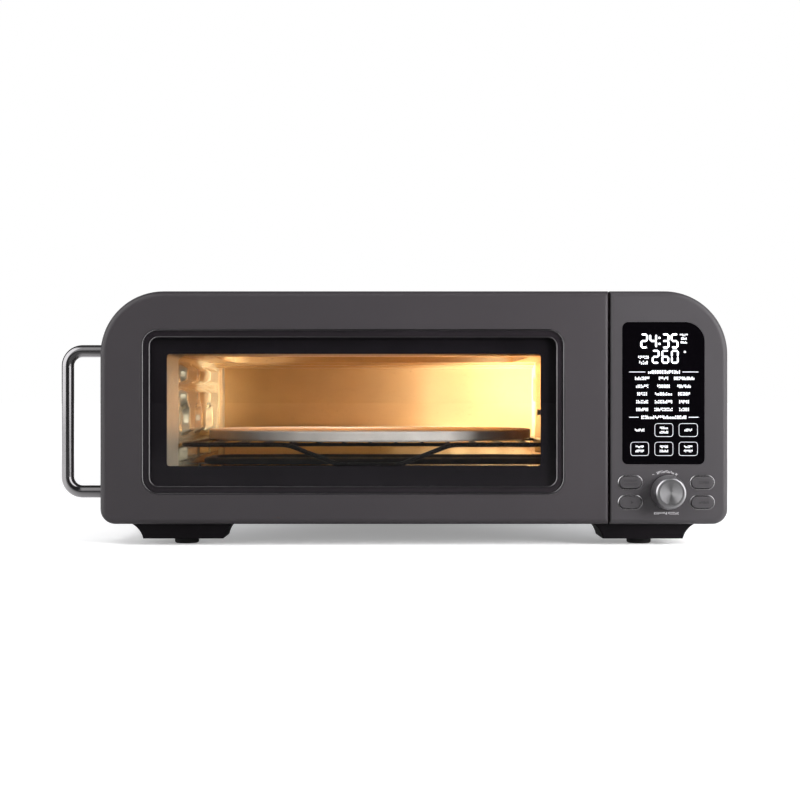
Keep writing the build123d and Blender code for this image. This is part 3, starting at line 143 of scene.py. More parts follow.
def rgb(color, lift=1.0):
    return (*[min(1.0, part * lift) for part in color], 1.0)


def finish(
    name,
    color,
    rough,
    metallic=0.0,
    tint=0.12,
    patch=40.0,
    grain=0.6,
    grain_depth=0.004,
    stretch=(1, 1, 1),
    rough_spread=0.06,
    anisotropic=0.0,
    tangent=None,
    **sockets,
):
    """A solid finish: slow colour patches, fine grain in the bump and uneven roughness."""
    n = Nodes(name)
    slow = n.noise(patch)
    fine = n.noise(grain, stretch, detail=GRAIN_DETAIL)
    base = n.mix(n.spread(slow, 0.0, 1.0), rgb(color, 1 - tint), rgb(color, 1 + tint))
    links = {
        "Base Color": base,
        "Metallic": metallic,
        "Roughness": n.spread(fine, rough - rough_spread, rough + rough_spread),
        "Normal": n.bump(fine, grain_depth, GRAIN_STRENGTH),
        "Anisotropic": anisotropic,
    }
    shader = n.add("ShaderNodeBsdfPrincipled", links)
    if tangent:
        around = n.add("ShaderNodeTangent", direction_type="RADIAL", axis=tangent)
        n.set(shader.inputs["Tangent"], around)
    for key, value in sockets.items():
        shader.inputs[key.replace("_", " ")].default_value = value
    return n.surface(shader)


def clear_glass(name, tint, smear_size=60.0, smear=0.98, ior=1.45):
    """Thin clear glass that lets the lamps' light through."""
    n = Nodes(name)
    smears = n.spread(n.noise(smear_size), 0.0, 1.0)
    links = {
        "Base Color": n.mix(smears, rgb(tint, smear), rgb(tint)),
        "Roughness": 0.0,
        "Transmission Weight": 1.0,
        "IOR": ior,
    }
    shader = n.add("ShaderNodeBsdfPrincipled", links)
    shadow = n.add("ShaderNodeLightPath").outputs["Is Shadow Ray"]
    passed = n.add("ShaderNodeBsdfTransparent", {"Color": rgb(tint)})
    return n.surface(n.add("ShaderNodeMixShader", {0: shadow, 1: shader, 2: passed}))


def glow(name, color, strength, grain=1.5, dimmest=0.95, rough=0.4):
    """A lit mark: a pale surface that also gives light."""
    n = Nodes(name)
    tone = n.mix(n.spread(n.noise(grain), 0.0, 1.0), rgb(color, dimmest), rgb(color))
    links = {
        "Base Color": tone,
        "Roughness": rough,
        "Emission Color": tone,
        "Emission Strength": strength,
    }
    return n.surface(n.add("ShaderNodeBsdfPrincipled", links))


COAT = dict(
    rough=0.4, tint=0.03, patch=120.0, grain=0.35, grain_depth=0.006, rough_spread=0.03,
    Specular_IOR_Level=0.5,
)
LOOKS = {
    "coated_steel": finish("satin_coating", (0.0295, 0.026, 0.0288), **COAT),
    "coated_plastic": finish("satin_panel", (0.033, 0.0303, 0.033), **COAT),
    "button_plastic": finish("satin_button", (0.036, 0.0335, 0.036), **COAT),
    "bezel_black": finish(
        "bezel_gloss", (0.012, 0.010, 0.012), rough=0.16, tint=0.1, patch=60, grain_depth=0.001
    ),
    "window_glass": clear_glass("window_glass", (0.97, 0.975, 0.975)),
    "display_glass": finish(
        "display_glass", (0.0010, 0.0008, 0.0012), rough=0.1, tint=0.1, patch=80,
        grain_depth=0.0005, rough_spread=0.02, Specular_IOR_Level=0.1,
    ),
    "handle_chrome": finish(
        "dark_chrome", (0.4, 0.39, 0.4), rough=0.13, metallic=1.0, tint=0.05, patch=30,
        grain=0.8, grain_depth=0.001, rough_spread=0.04,
    ),
    "knob_metal": finish(
        "satin_metal", (0.66, 0.65, 0.67), rough=0.34, metallic=1.0, tint=0.05, patch=8,
        grain=0.4, grain_depth=0.002, rough_spread=0.03,
    ),
    "leg_plastic": finish(
        "leg_plastic", (0.0055, 0.0045, 0.0057), rough=0.55, grain=0.5, grain_depth=0.012,
        Specular_IOR_Level=0.12,
    ),
    "foot_rubber": finish(
        "foot_rubber", (0.012, 0.011, 0.012), rough=0.75, grain=0.7, grain_depth=0.02
    ),
    "seal_silicone": finish(
        "seal_silicone", (0.02, 0.019, 0.02), rough=0.6, grain=1.0, grain_depth=0.01
    ),
    "cavity_steel": finish(
        "cavity_sheet", (0.7, 0.48, 0.24), rough=0.3, metallic=0.6, tint=0.05, patch=40,
        grain=2.0, grain_depth=0.001, rough_spread=0.03,
    ),
    "frame_steel": finish(
        "black_enamel", (0.02, 0.018, 0.02), rough=0.3, grain=1.0, grain_depth=0.006
    ),
    "rack_steel": finish(
        "dark_nickel", (0.07, 0.065, 0.065), rough=0.28, metallic=1.0, tint=0.15, patch=15,
        grain=0.5, grain_depth=0.003,
    ),
    "tray_steel": finish(
        "tray_enamel", (0.016, 0.013, 0.012), rough=0.4, grain=1.0, grain_depth=0.006
    ),
    "stone_ceramic": finish(
        "fired_stone", (0.62, 0.57, 0.53), rough=0.85, tint=0.1, patch=18, grain=0.9,
        grain_depth=0.05, rough_spread=0.05,
    ),
    "heater_sheath": finish(
        "heater_sheath", (0.05, 0.04, 0.035), rough=0.5, metallic=1.0, tint=0.3, patch=20, grain=0.8
    ),
    "bead_ceramic": finish("bead_ceramic", (0.8, 0.77, 0.7), rough=0.4, grain=0.5),
    "zinc_steel": finish(
        "zinc_sheet", (0.55, 0.56, 0.58), rough=0.38, metallic=1.0, tint=0.15, patch=12, grain=0.8
    ),
    "fastener_steel": finish("black_zinc", (0.16, 0.16, 0.17), rough=0.35, metallic=1.0, grain=0.4),
    "magnet_iron": finish("magnet_iron", (0.06, 0.06, 0.06), rough=0.55, grain=0.6),
    "fan_aluminium": finish("fan_aluminium", (0.7, 0.7, 0.7), rough=0.35, metallic=1.0, grain=0.6),
    "shaft_steel": finish("ground_steel", (0.6, 0.6, 0.6), rough=0.25, metallic=1.0, grain=0.3),
    "motor_iron": finish(
        "motor_iron", (0.2, 0.2, 0.21), rough=0.5, metallic=0.8, grain=0.5, stretch=(8, 1, 1)
    ),
    "board_green": finish(
        "solder_mask", (0.02, 0.1, 0.04), rough=0.35, grain=0.8, tint=0.3, patch=6
    ),
    "module_black": finish("module_black", (0.02, 0.02, 0.02), rough=0.5, grain=0.5),
    "wool": finish(
        "glass_wool", (0.75, 0.7, 0.5), rough=0.95, grain=1.5, grain_depth=0.6, tint=0.2, patch=8
    ),
    "bulb_glass": glow("lit_bulb", (1.0, 0.78, 0.45), 12.0),
}
for row in frame["record"]["subparts"]:
    shown = NODES[row["node"]]
    shown.data.materials.clear()
    shown.data.materials.append(LOOKS[row["material_slot"]])

# The frame round the cavity's mouth is bare pale sheet, unlike the black liner of the same slot
NODES["front_frame"].data.materials[0] = finish(
    "throat_sheet", (0.46, 0.4, 0.31), rough=0.4, metallic=0.5, tint=0.04, patch=40,
    rough_spread=0.02, grain=2.0, grain_depth=0.0004,
)

INK = glow("display_ink", (0.93, 0.95, 1.0), 0.95)
LABEL_INK = glow("label_ink", (0.75, 0.76, 0.8), 0.6)
DIM_INK = glow("dim_ink", (0.45, 0.46, 0.5), 0.35)
FLAT = dict(grain=0.4, grain_depth=0.001)
PRINT = finish("panel_print", (0.33, 0.32, 0.33), rough=0.5, **FLAT)
DARK_PRINT = finish("button_print", (0.012, 0.011, 0.012), rough=0.5, **FLAT)
BORDER = finish(
    "border_ink", (0.009, 0.0075, 0.0095), rough=0.5, grain=0.6, grain_depth=0.001,
    Specular_IOR_Level=0.0,
)
RING = finish("ring_metal", (0.6, 0.59, 0.6), rough=0.26, metallic=1.0, **FLAT)
BEAD = finish("rim_bead", (0.4, 0.39, 0.4), rough=0.2, metallic=1.0, **FLAT)
TURNED = finish(
    "turned_metal", (0.76, 0.75, 0.77), rough=0.4, metallic=1.0, tint=0.04, patch=8,
    grain=0.25, grain_depth=0.001, rough_spread=0.02,
    anisotropic=0.92, tangent="Y", Anisotropic_Rotation=0.25,
)
# The cavity's left wall: the same steel as the other walls, in a paler, less golden copy that is
# painted light from the lamp's beam on that wall; it is also glossier
LIT_WALL_SHEET = finish(
    "pressed_sheet", (0.86, 0.74, 0.5), rough=0.2, metallic=0.7, tint=0.05, patch=40,
    grain=2.0, grain_depth=0.001, rough_spread=0.03,
)


# Mesh pieces
def piece(name, mesh, look, body):
    data = bpy.data.meshes.new(name)
    bmesh.ops.recalc_face_normals(mesh, faces=mesh.faces)
    mesh.to_mesh(data)
    mesh.free()
    data.materials.append(look)
    made = bpy.data.objects.new(name, data)
    bpy.context.scene.collection.objects.link(made)
    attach(made, body)
    return made


def smooth(made):
    for face in made.data.polygons:
        face.use_smooth = True


def slab(mesh, points, y, depth):
    """A flat shape given by x, z points, extruded from y backwards by depth."""
    front = [mesh.verts.new(at(x, y, z)) for x, z in points]
    back = [mesh.verts.new(at(x, y + depth, z)) for x, z in points]
    mesh.faces.new(front)
    mesh.faces.new(list(reversed(back)))
    count = len(points)
    for i in range(count):
        j = (i + 1) % count
        mesh.faces.new((front[i], back[i], back[j], front[j]))


def rounded(x0, x1, z0, z1, radius, steps=5):
    """Points round a rectangle with round corners, anticlockwise from its lower right."""
    points = []
    corners = ((x1 - radius, z0 + radius, -90), (x1 - radius, z1 - radius, 0),
               (x0 + radius, z1 - radius, 90), (x0 + radius, z0 + radius, 180))
    for cx, cz, start in corners:
        for step in range(steps + 1):
            angle = math.radians(start + 90 * step / steps)
            points.append((cx + radius * math.cos(angle), cz + radius * math.sin(angle)))
    return points


def ring(mesh, outer, inner, y, depth):
    """A flat frame between two outlines with the same number of points."""
    loops = []
    for points, place_y in ((outer, y), (outer, y + depth), (inner, y + depth), (inner, y)):
        loops.append([mesh.verts.new(at(x, place_y, z)) for x, z in points])
    join_loops(mesh, loops)


def join_loops(mesh, loops):
    """Faces between each loop and the next, and between the last and the first."""
    count = len(loops[0])
    for a, loop in enumerate(loops):
        after = loops[(a + 1) % len(loops)]
        for i in range(count):
            j = (i + 1) % count
            mesh.faces.new((loop[i], after[i], after[j], loop[j]))


INK_DEPTH = 0.05
PRINT_Y = -0.05

# The dark border printed on the back of the outer glass
BORDER_OUTER, BORDER_OUTER_RADIUS = (-222.9, 122.5, 47.9, 177.9), 10.0
BORDER_INNER, BORDER_INNER_RADIUS = (-206.7, 107.0, 67.3, 161.3), 2.5
BORDER_Y, BORDER_DEPTH, BORDER_STEPS = 7.42, 0.25, 8
border = bmesh.new()
ring(border, rounded(*BORDER_OUTER, BORDER_OUTER_RADIUS, BORDER_STEPS),
     rounded(*BORDER_INNER, BORDER_INNER_RADIUS, BORDER_STEPS), BORDER_Y, BORDER_DEPTH)
piece("window_border", border, BORDER, "door")

# Fine bright beads along the bezel's outer and inner rims: box in x and z, corner radius, foot's y
BEADS = {
    "bezel_outer_bead": ((-226.2, 125.8, 44.6, 181.2), 13.2, 0.42),
    "bezel_inner_bead": ((-220.6, 120.2, 50.2, 175.6), 8.0, 1.22),
}
BEAD_HALF, BEAD_STEPS, BEAD_CORNER_STEPS = 0.4, 5, 10
for name, ((x0, x1, z0, z1), radius, y) in BEADS.items():
    bead = bmesh.new()
    loops = []
    for step in range(BEAD_STEPS + 1):
        angle = math.pi * step / BEAD_STEPS
        out, lift = BEAD_HALF * math.cos(angle), BEAD_HALF * math.sin(angle)
        points = rounded(x0 - out, x1 + out, z0 - out, z1 + out, radius + out, BEAD_CORNER_STEPS)
        loops.append([bead.verts.new(at(px, y - lift, pz)) for px, pz in points])
    join_loops(bead, loops)
    smooth(piece(name, bead, BEAD, "door"))

# Lit seven-segment digits
SEGMENTS = {
    "0": "abcdef", "2": "abged", "3": "abgcd", "4": "fgbc", "5": "afgcd", "6": "afgedc",
}
SEGMENT_GAP = 0.12  # at each end of a segment, in strokes
TIME_DIGITS, TIME_X = "2435", (189.7, 197.2, 207.6, 215.1)
HEAT_DIGITS, HEAT_X = "260", (199.3, 207.3, 215.3)
TIME_SIZE = dict(z=165.8, width=6.4, height=12.4, stroke=1.5)
HEAT_SIZE = dict(z=153.1, width=6.4, height=11.4, stroke=1.4)
COLON_X0, COLON_X1, COLON_ZS, COLON_HALF, COLON_RADIUS = 204.9, 206.5, (169.6, 174.6), 0.8, 0.5


def bar(mesh, x0, z0, x1, z1, width):
    """A segment with pointed ends."""
    a, b = Vector((x0, z0)), Vector((x1, z1))
    run = (b - a).normalized()
    side = Vector((-run.y, run.x)) * width / 2
    tip = run * width / 2
    gap = run * width * SEGMENT_GAP
    a, b = a + gap, b - gap
    points = [a, a + tip - side, b - tip - side, b, b - tip + side, a + tip + side]
    slab(mesh, [(p.x, p.y) for p in points], PRINT_Y, INK_DEPTH)


def digit(mesh, value, x, z, width, height, stroke):
    """One seven-segment digit with its lower left corner at x, z."""
    x0, x1 = x + stroke / 2, x + width - stroke / 2
    z0, z2 = z + stroke / 2, z + height - stroke / 2
    z1 = (z0 + z2) / 2
    ends = {
        "a": (x0, z2, x1, z2), "b": (x1, z1, x1, z2), "c": (x1, z0, x1, z1), "d": (x0, z0, x1, z0),
        "e": (x0, z0, x0, z1), "f": (x0, z1, x0, z2), "g": (x0, z1, x1, z1),
    }
    for key in SEGMENTS[value]:
        bar(mesh, *ends[key], stroke)


digits = bmesh.new()
for value, x in zip(TIME_DIGITS, TIME_X):
    digit(digits, value, x, **TIME_SIZE)
for z in COLON_ZS:
    dot = rounded(COLON_X0, COLON_X1, z - COLON_HALF, z + COLON_HALF, COLON_RADIUS)
    slab(digits, dot, PRINT_Y, INK_DEPTH)
for value, x in zip(HEAT_DIGITS, HEAT_X):
    digit(digits, value, x, **HEAT_SIZE)
piece("display_digits", digits, INK, "housing")

# Marks in short rows of plain bars and dots; shares are of a row's height or of a cell's width
CELL_SHARE, BAR_SHARE, CUT_SHARE, DOT_SHARE = 0.5, 0.52, 0.15, 0.36


def label(mesh, x, z, width, height, seed, y=PRINT_Y, turn=None):
    """A row of small marks centred at x, z: whole, lower or upper bars, or pairs of dots."""
    pick = random.Random(seed)
    count = max(2, round(width / (height * CELL_SHARE)))
    cell = width / count
    thick = cell * BAR_SHARE
    low, high = z - height / 2, z + height / 2
    whole = ((low, high),)
    lower = ((low, z + height * CUT_SHARE),)
    upper = ((z - height * CUT_SHARE, high),)
    dots = ((low, low + height * DOT_SHARE), (high - height * DOT_SHARE, high))
    for i in range(count):
        left = x - width / 2 + i * cell + (cell - thick) / 2
        for z0, z1 in pick.choice((whole, whole, lower, upper, dots)):
            corners = [(left, z0), (left + thick, z0), (left + thick, z1), (left, z1)]
            if turn:
                corners = [turn(px, pz) for px, pz in corners]
            slab(mesh, corners, y, INK_DEPTH)


# Middle, width, height and seed of each mark beside the digits, then of the two headings
SIDE_MARKS = (
    (226.0, 177.0, 7.0, 1.9, 0), (226.0, 174.0, 5.0, 1.9, 1), (226.0, 170.8, 5.6, 1.9, 2),
    (192.2, 158.4, 9.2, 2.5, 11), (192.2, 153.9, 7.6, 3.0, 12),
    (209.5, 146.1, 27.0, 2.8, 13), (209.3, 108.3, 38.0, 2.8, 14),
)
MENU_ZS = (140.8, 134.2, 127.8, 121.2, 114.8)
MENU_XS = (191.2, 209.0, 226.2)
MENU_WIDTHS = (
    (12.5, 8.3, 17.5), (10.7, 10.9, 11.7), (8.6, 14.7, 10.4), (10.4, 15.0, 8.7), (10.4, 15.6, 8.7),
)
MENU_HEIGHT, MENU_SEED = 2.7, 20
DEGREE_OUTER, DEGREE_INNER = (226.0, 227.8, 161.9, 163.7, 0.85), (226.4, 227.4, 162.3, 163.3, 0.48)
words = bmesh.new()
for mark_size in SIDE_MARKS:
    label(words, *mark_size)
for r, z in enumerate(MENU_ZS):
    for c, x in enumerate(MENU_XS):
        label(words, x, z, MENU_WIDTHS[r][c], MENU_HEIGHT, MENU_SEED + r * 3 + c)
ring(words, rounded(*DEGREE_OUTER), rounded(*DEGREE_INNER), PRINT_Y, INK_DEPTH)
piece("display_labels", words, LABEL_INK, "housing")

# Lines beside the headings, and the outlines of the touch keys; the first key has none
RULES = ((180.3, 193.8, 146.1), (224.8, 238.2, 146.1), (180.3, 188.4, 108.3), (230.0, 238.2, 108.3))
RULE_HALF, RULE_RADIUS = 0.3, 0.25
KEY_COLUMNS = ((181.5, 196.8), (201.6, 217.1), (221.8, 237.6))
KEY_ROWS = ((92.0, 103.2), (76.1, 87.7))
KEY_LINE, KEY_RADIUS, KEY_INNER_RADIUS = 0.36, 2.4, 2.0
rules = bmesh.new()
for x0, x1, z in RULES:
    line = rounded(x0, x1, z - RULE_HALF, z + RULE_HALF, RULE_RADIUS)
    slab(rules, line, PRINT_Y, INK_DEPTH)
for r, (z0, z1) in enumerate(KEY_ROWS):
    for c, (x0, x1) in enumerate(KEY_COLUMNS):
        if r or c:
            inner = rounded(x0 + KEY_LINE, x1 - KEY_LINE, z0 + KEY_LINE, z1 - KEY_LINE,
                            KEY_INNER_RADIUS)
            ring(rules, rounded(x0, x1, z0, z1, KEY_RADIUS), inner, PRINT_Y, INK_DEPTH)
piece("display_key_outlines", rules, DIM_INK, "housing")

# Marks in the touch keys: one row of bars in two of them, two rows in the others
ONE_ROW = {(0, 0): (8.4, 50), (0, 2): (6.6, 52)}
ONE_ROW_HEIGHT, TWO_ROW_HEIGHT, ROW_LIFT = 2.2, 2.0, 1.8
UPPER_WIDTH, LOWER_WIDTH, UPPER_SEED, LOWER_SEED = 7.0, 7.4, 60, 70
keys = bmesh.new()
for r, (z0, z1) in enumerate(KEY_ROWS):
    for c, (x0, x1) in enumerate(KEY_COLUMNS):
        x, z = (x0 + x1) / 2, (z0 + z1) / 2
        if (r, c) in ONE_ROW:
            width, seed = ONE_ROW[r, c]
            label(keys, x, z, width, ONE_ROW_HEIGHT, seed)
        else:
            number = r * 3 + c
            label(keys, x, z + ROW_LIFT, UPPER_WIDTH, TWO_ROW_HEIGHT, UPPER_SEED + number)
            label(keys, x, z - ROW_LIFT, LOWER_WIDTH, TWO_ROW_HEIGHT, LOWER_SEED + number)
piece("display_key_labels", keys, LABEL_INK, "housing")

# Printed marks round the knob: a bent row above it, two rows below, a minus, a plus and a stroke
MARK_X, KNOB_Z, MARK_R = 210.6, 45.8, 17.2
BENT_ROW = (MARK_X, KNOB_Z, 15.0, 2.1, 90)
LOWER_ROWS = ((206.2, 28.1, 10.5, 2.0, 91), (217.4, 28.1, 9.0, 2.0, 92))
STROKES = (
    (199.6, 60.3, 201.4, 60.7), (218.6, 60.4, 220.8, 60.9), (219.45, 59.55, 219.95, 61.75),
    (211.4, 26.9, 211.9, 29.3),
)


def round_knob(x, z):
    """Bend a straight label round the knob's centre."""
    angle = (x - MARK_X) / MARK_R
    radius = MARK_R + z - KNOB_Z
    return MARK_X + radius * math.sin(angle), KNOB_Z + radius * math.cos(angle)


marks = bmesh.new()
label(marks, *BENT_ROW, turn=round_knob)
for lower_row in LOWER_ROWS:
    label(marks, *lower_row)
for x0, z0, x1, z1 in STROKES:
    slab(marks, [(x0, z0), (x1, z0), (x1, z1), (x0, z1)], PRINT_Y, INK_DEPTH)
piece("knob_marks", marks, PRINT, "housing")

# The knob's turned face: a thin dished disc on its front
knob_low, knob_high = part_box("select_knob")
KNOB_X = (knob_low.x + knob_high.x) / (2 * MM) - MIDDLE
KNOB_FRONT = knob_low.y / MM - FRONT
DISC_RADIUS, DISH_RADIUS, DISH_DEPTH, DISC_LIFT = 9.3, 9.8, 0.6, 0.04
DISC_RINGS, DISC_SIDES = 12, 72
disc = bmesh.new()
turned_rings = []
for step in range(DISC_RINGS + 1):
    r = DISC_RADIUS * step / DISC_RINGS
    y = KNOB_FRONT + DISH_DEPTH * max(0.0, 1 - (r / DISH_RADIUS) ** 2) - DISC_LIFT
    turned_rings.append([])
    for i in range(DISC_SIDES if step else 1):
        a = 2 * math.pi * i / DISC_SIDES
        place = at(KNOB_X + r * math.cos(a), y, KNOB_Z + r * math.sin(a))
        turned_rings[-1].append(disc.verts.new(place))
for inner, outer in zip(turned_rings, turned_rings[1:]):
    for i in range(DISC_SIDES):
        j = (i + 1) % DISC_SIDES
        if len(inner) == 1:
            disc.faces.new((inner[0], outer[i], outer[j]))
        else:
            disc.faces.new((inner[i], outer[i], outer[j], inner[j]))
smooth(piece("knob_face", disc, TURNED, "knob"))

# A raised ring round each button's opening, given by how far it grows out of the cap's outline and
# its y, and a mark on each cap
RIM_PROFILE = ((0.15, 0.02), (0.15, -0.3), (0.6, -0.66), (1.05, -0.3), (1.05, 0.02))
RIM_STEPS, RIM_SLACK = 12, 0.001
BUTTON_XS = {"left": 181.3, "right": 241.4}
BUTTON_ZS = {"upper": 53.9, "lower": 37.3}
BUTTON_FLANGE = 1.5
BUTTON_MARK_Y = -1.43
cap_low, cap_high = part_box("upper_left_button")
BUTTON_HALF = (cap_high - cap_low) / (2 * MM) - Vector((BUTTON_FLANGE, 0, BUTTON_FLANGE))
# Offset from the cap's middle, width, height and seed of each row of bars
BUTTON_ROWS = {
    "upper_right": ((1.0, 0.0, 8.5, 2.2, 95),),
    "lower_right": ((1.0, 0.0, 8.5, 2.2, 96),),
    "upper_left": ((0.0, 1.4, 11.0, 1.6, 97), (0.0, -1.4, 11.0, 1.6, 98)),
}
ARROW = ((0.4, -1.3), (2.6, 0.0), (0.4, 1.3))
for side, x in BUTTON_XS.items():
    for level, z in BUTTON_ZS.items():
        trim = bmesh.new()
        rings = []
        for grow, y in RIM_PROFILE:
            half, high = BUTTON_HALF.x + grow, BUTTON_HALF.z + grow
            points = rounded(x - half, x + half, z - high, z + high, high - RIM_SLACK, RIM_STEPS)
            rings.append([trim.verts.new(at(px, y, pz)) for px, pz in points])
        join_loops(trim, rings)
        piece(f"{level}_{side}_button_ring", trim, RING, "housing")
        mark = bmesh.new()
        button = f"{level}_{side}"
        if button in BUTTON_ROWS:
            for dx, dz, width, height, seed in BUTTON_ROWS[button]:
                label(mark, x + dx, z + dz, width, height, seed, y=BUTTON_MARK_Y)
        else:
            slab(mark, [(x + dx, z + dz) for dx, dz in ARROW], BUTTON_MARK_Y, INK_DEPTH)
        piece(f"{level}_{side}_button_mark", mark, DARK_PRINT, f"{level}_{side}_button")

# The cavity's left wall, pressed out of one sheet with soft pads and a rounded back corner
WALL_X, WALL_FRONT, WALL_BACK, WALL_LOW, WALL_TOP = -203.0, 52.0, 350.0, 46.0, 161.0
SHEET, REACH, CORNER = 0.8, 7.0, 7.0
GRID_Y, GRID_Z = 200, 93
PAD_MIDDLES = (92.0, 176.0, 260.0)
PAD_HALF = 35.0
# Lowest and highest z and softness of each kind of pad; the middle kind has a waist
UPPER_PAD, WAISTED_PAD, LOWER_PAD = (139.0, 153.0, 2.6), (94.0, 132.0, 2.6), (70.8, 82.8, 1.2)
WAIST_ZS = (94.0, 101.0, 114.0, 121.0, 132.0)
WAIST_HALVES = (26.0, 17.0, 17.0, 35.0, 35.0)
BLUR_REACH = 3  # half the kernel's length, in softnesses
BLUR_LOW, BLUR_SPAN = 0.12, 0.76  # the part of the blurred edge that becomes the slope


def soften(mask, soft, step_y, step_z):
    """Blur a mask over soft millimetres, then stretch it so that its middle is flat."""
    for axis, step in ((0, step_y), (1, step_z)):
        half = int(BLUR_REACH * soft / step) + 1
        kernel = np.exp(-0.5 * (np.arange(-half, half + 1) * step / soft) ** 2)
        kernel /= kernel.sum()
        mask = np.apply_along_axis(
            lambda line: np.convolve(np.pad(line, half), kernel, "valid"), axis, mask
        )
    share = np.clip((mask - BLUR_LOW) / BLUR_SPAN, 0.0, 1.0)
    return share * share * (3 - 2 * share)


def pressed_height():
    """The grid's ys and zs, and how far the sheet stands out at each of its points."""
    ys = np.linspace(WALL_FRONT, WALL_BACK, GRID_Y)
    zs = np.linspace(WALL_LOW, WALL_TOP, GRID_Z)
    y, z = np.meshgrid(ys, zs, indexing="ij")
    height = np.zeros_like(y)
    waist = np.interp(z, WAIST_ZS, WAIST_HALVES)
    for middle in PAD_MIDDLES:
        aside = np.abs(y - middle)
        for (low, high, soft), half in (
            (UPPER_PAD, PAD_HALF), (WAISTED_PAD, waist), (LOWER_PAD, PAD_HALF)
        ):
            mask = (aside < half) & (z > low) & (z < high)
            pad = soften(mask.astype(float), soft, ys[1] - ys[0], zs[1] - zs[0])
            height = np.maximum(height, pad)
    turn = np.clip((y - (WALL_BACK - CORNER)) / CORNER, 0.0, 1.0)
    return ys, zs, np.maximum(height * REACH, CORNER * (1 - np.sqrt(1 - turn**2)))


wall_ys, wall_zs, wall_height = pressed_height()
wall = bmesh.new()
faces_of_sheet = []
for behind in (0.0, SHEET):
    grid = []
    for i, y in enumerate(wall_ys):
        line = [at(WALL_X + wall_height[i, k] - behind, y, z) for k, z in enumerate(wall_zs)]
        grid.append([wall.verts.new(place) for place in line])
    faces_of_sheet.append(grid)
for grid in faces_of_sheet:
    for i in range(GRID_Y - 1):
        for k in range(GRID_Z - 1):
            wall.faces.new((grid[i][k], grid[i + 1][k], grid[i + 1][k + 1], grid[i][k + 1]))
inside, outside = faces_of_sheet
rim = [(i, 0) for i in range(GRID_Y)]
rim += [(GRID_Y - 1, k) for k in range(1, GRID_Z)]
rim += [(i, GRID_Z - 1) for i in range(GRID_Y - 2, -1, -1)]
rim += [(0, k) for k in range(GRID_Z - 2, 0, -1)]
for here, (i, k) in enumerate(rim):
    p, q = rim[(here + 1) % len(rim)]
    wall.faces.new((inside[i][k], inside[p][q], outside[p][q], outside[i][k]))
pressed_wall = piece("pressed_left_wall", wall, LIT_WALL_SHEET, "housing")
smooth(pressed_wall)
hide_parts("cavity_left_wall")

# Smooth shading with sharp edges kept on every CAD node
SHARP_ANGLE = 32
for shown in NODES.values():
    shown.data.shade_smooth()
    modifier = shown.modifiers.new("edges", "EDGE_SPLIT")
    modifier.split_angle = math.radians(SHARP_ANGLE)

# Floor. It looks paler to the camera than it is lit, and more so far away, so that it meets the
# white backdrop unseen. Lengths are metres, except the grain's.
FLOOR_HALF = 60.0
FLOOR_GRAIN = 30.0
FLOOR_TONES = (0.9, 0.9, 0.91, 1), (0.93, 0.93, 0.935, 1)
DARK_FLOOR = (0.1, 0.1, 0.1, 1)
NEAR, FAR, NEAR_LIFT, FAR_LIFT = 0.7, 2.5, 0.3, 0.62
SIDE_SLOPE, SIDE_START, SIDE_END, SIDE_LIFT = 0.55, 0.05, 0.3, 0.9


def floor_look():
    """A pale floor that is dark in reflections, except where it lies beside the oven."""
    n = Nodes("studio_floor")
    tone = n.mix(n.spread(n.noise(FLOOR_GRAIN), 0.0, 1.0), *FLOOR_TONES)
    paths = n.add("ShaderNodeLightPath")
    mirror, through = paths.outputs["Is Glossy Ray"], paths.outputs["Is Transmission Ray"]
    dim = n.mix(n.math("MAXIMUM", mirror, through), tone, DARK_FLOOR)
    lit = n.add("ShaderNodeBsdfDiffuse", {"Color": dim})

    def ramp(value, start, end, low, high):
        links = {"Value": value, "From Min": start, "From Max": end, "To Min": low, "To Max": high}
        return n.add("ShaderNodeMapRange", links, interpolation_type="SMOOTHSTEP")

    away = n.add("ShaderNodeVectorMath", {0: n.place()}, operation="LENGTH").outputs["Value"]
    share = ramp(away, NEAR, FAR, NEAR_LIFT, FAR_LIFT)
    spot = n.add("ShaderNodeSeparateXYZ", {"Vector": n.place()})
    across = n.math("ABSOLUTE", spot.outputs["X"])
    aside = n.math("MULTIPLY_ADD", spot.outputs["Y"], SIDE_SLOPE, across)
    beside = n.math("MULTIPLY", mirror, ramp(aside, SIDE_START, SIDE_END, 0.0, SIDE_LIFT))
    lift = n.math("MULTIPLY_ADD", paths.outputs["Is Camera Ray"], share, beside)
    glow_part = n.add("ShaderNodeEmission", {"Color": (1, 1, 1, 1), "Strength": lift})
    return n.surface(n.add("ShaderNodeAddShader", {0: lit, 1: glow_part}))


floor_mesh = bpy.data.meshes.new("studio_floor")
floor_signs = ((-1, -1), (1, -1), (1, 1), (-1, 1))
floor_corners = [(x * FLOOR_HALF, y * FLOOR_HALF, 0) for x, y in floor_signs]
floor_mesh.from_pydata(floor_corners, [], [(0, 1, 2, 3)])
floor_mesh.materials.append(floor_look())
floor_object = bpy.data.objects.new("studio_floor", floor_mesh)
bpy.context.scene.collection.objects.link(floor_object)


# Lamps. None of them is seen in reflections: the world's soft boxes are.
def lamp(name, kind, place, target, watts, color):
    data = bpy.data.lights.new(name, kind)
    data.energy = watts
    data.color = color
    made = bpy.data.objects.new(name, data)
    made.location = place
    made.rotation_mode = "QUATERNION"
    made.rotation_quaternion = (Vector(target) - Vector(place)).to_track_quat("-Z", "Y")
    for flag in ("visible_camera", "visible_glossy", "visible_transmission"):
        setattr(made, flag, False)
    bpy.context.scene.collection.objects.link(made)
    return data


WHITE = (1, 1, 1)
BULB = (1.0, 0.64, 0.26)
GLOW = (1.0, 0.4, 0.07)
PALE = (1.0, 0.95, 0.86)
BEAM = (1.0, 0.93, 0.8)
LENS_INSET = 0.004
lens_low, lens_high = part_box("lamp_lens")
lens_y, lens_z = (lens_low.y + lens_high.y) / 2, (lens_low.z + lens_high.z) / 2
lens = Vector((lens_low.x - LENS_INSET, lens_y, lens_z))
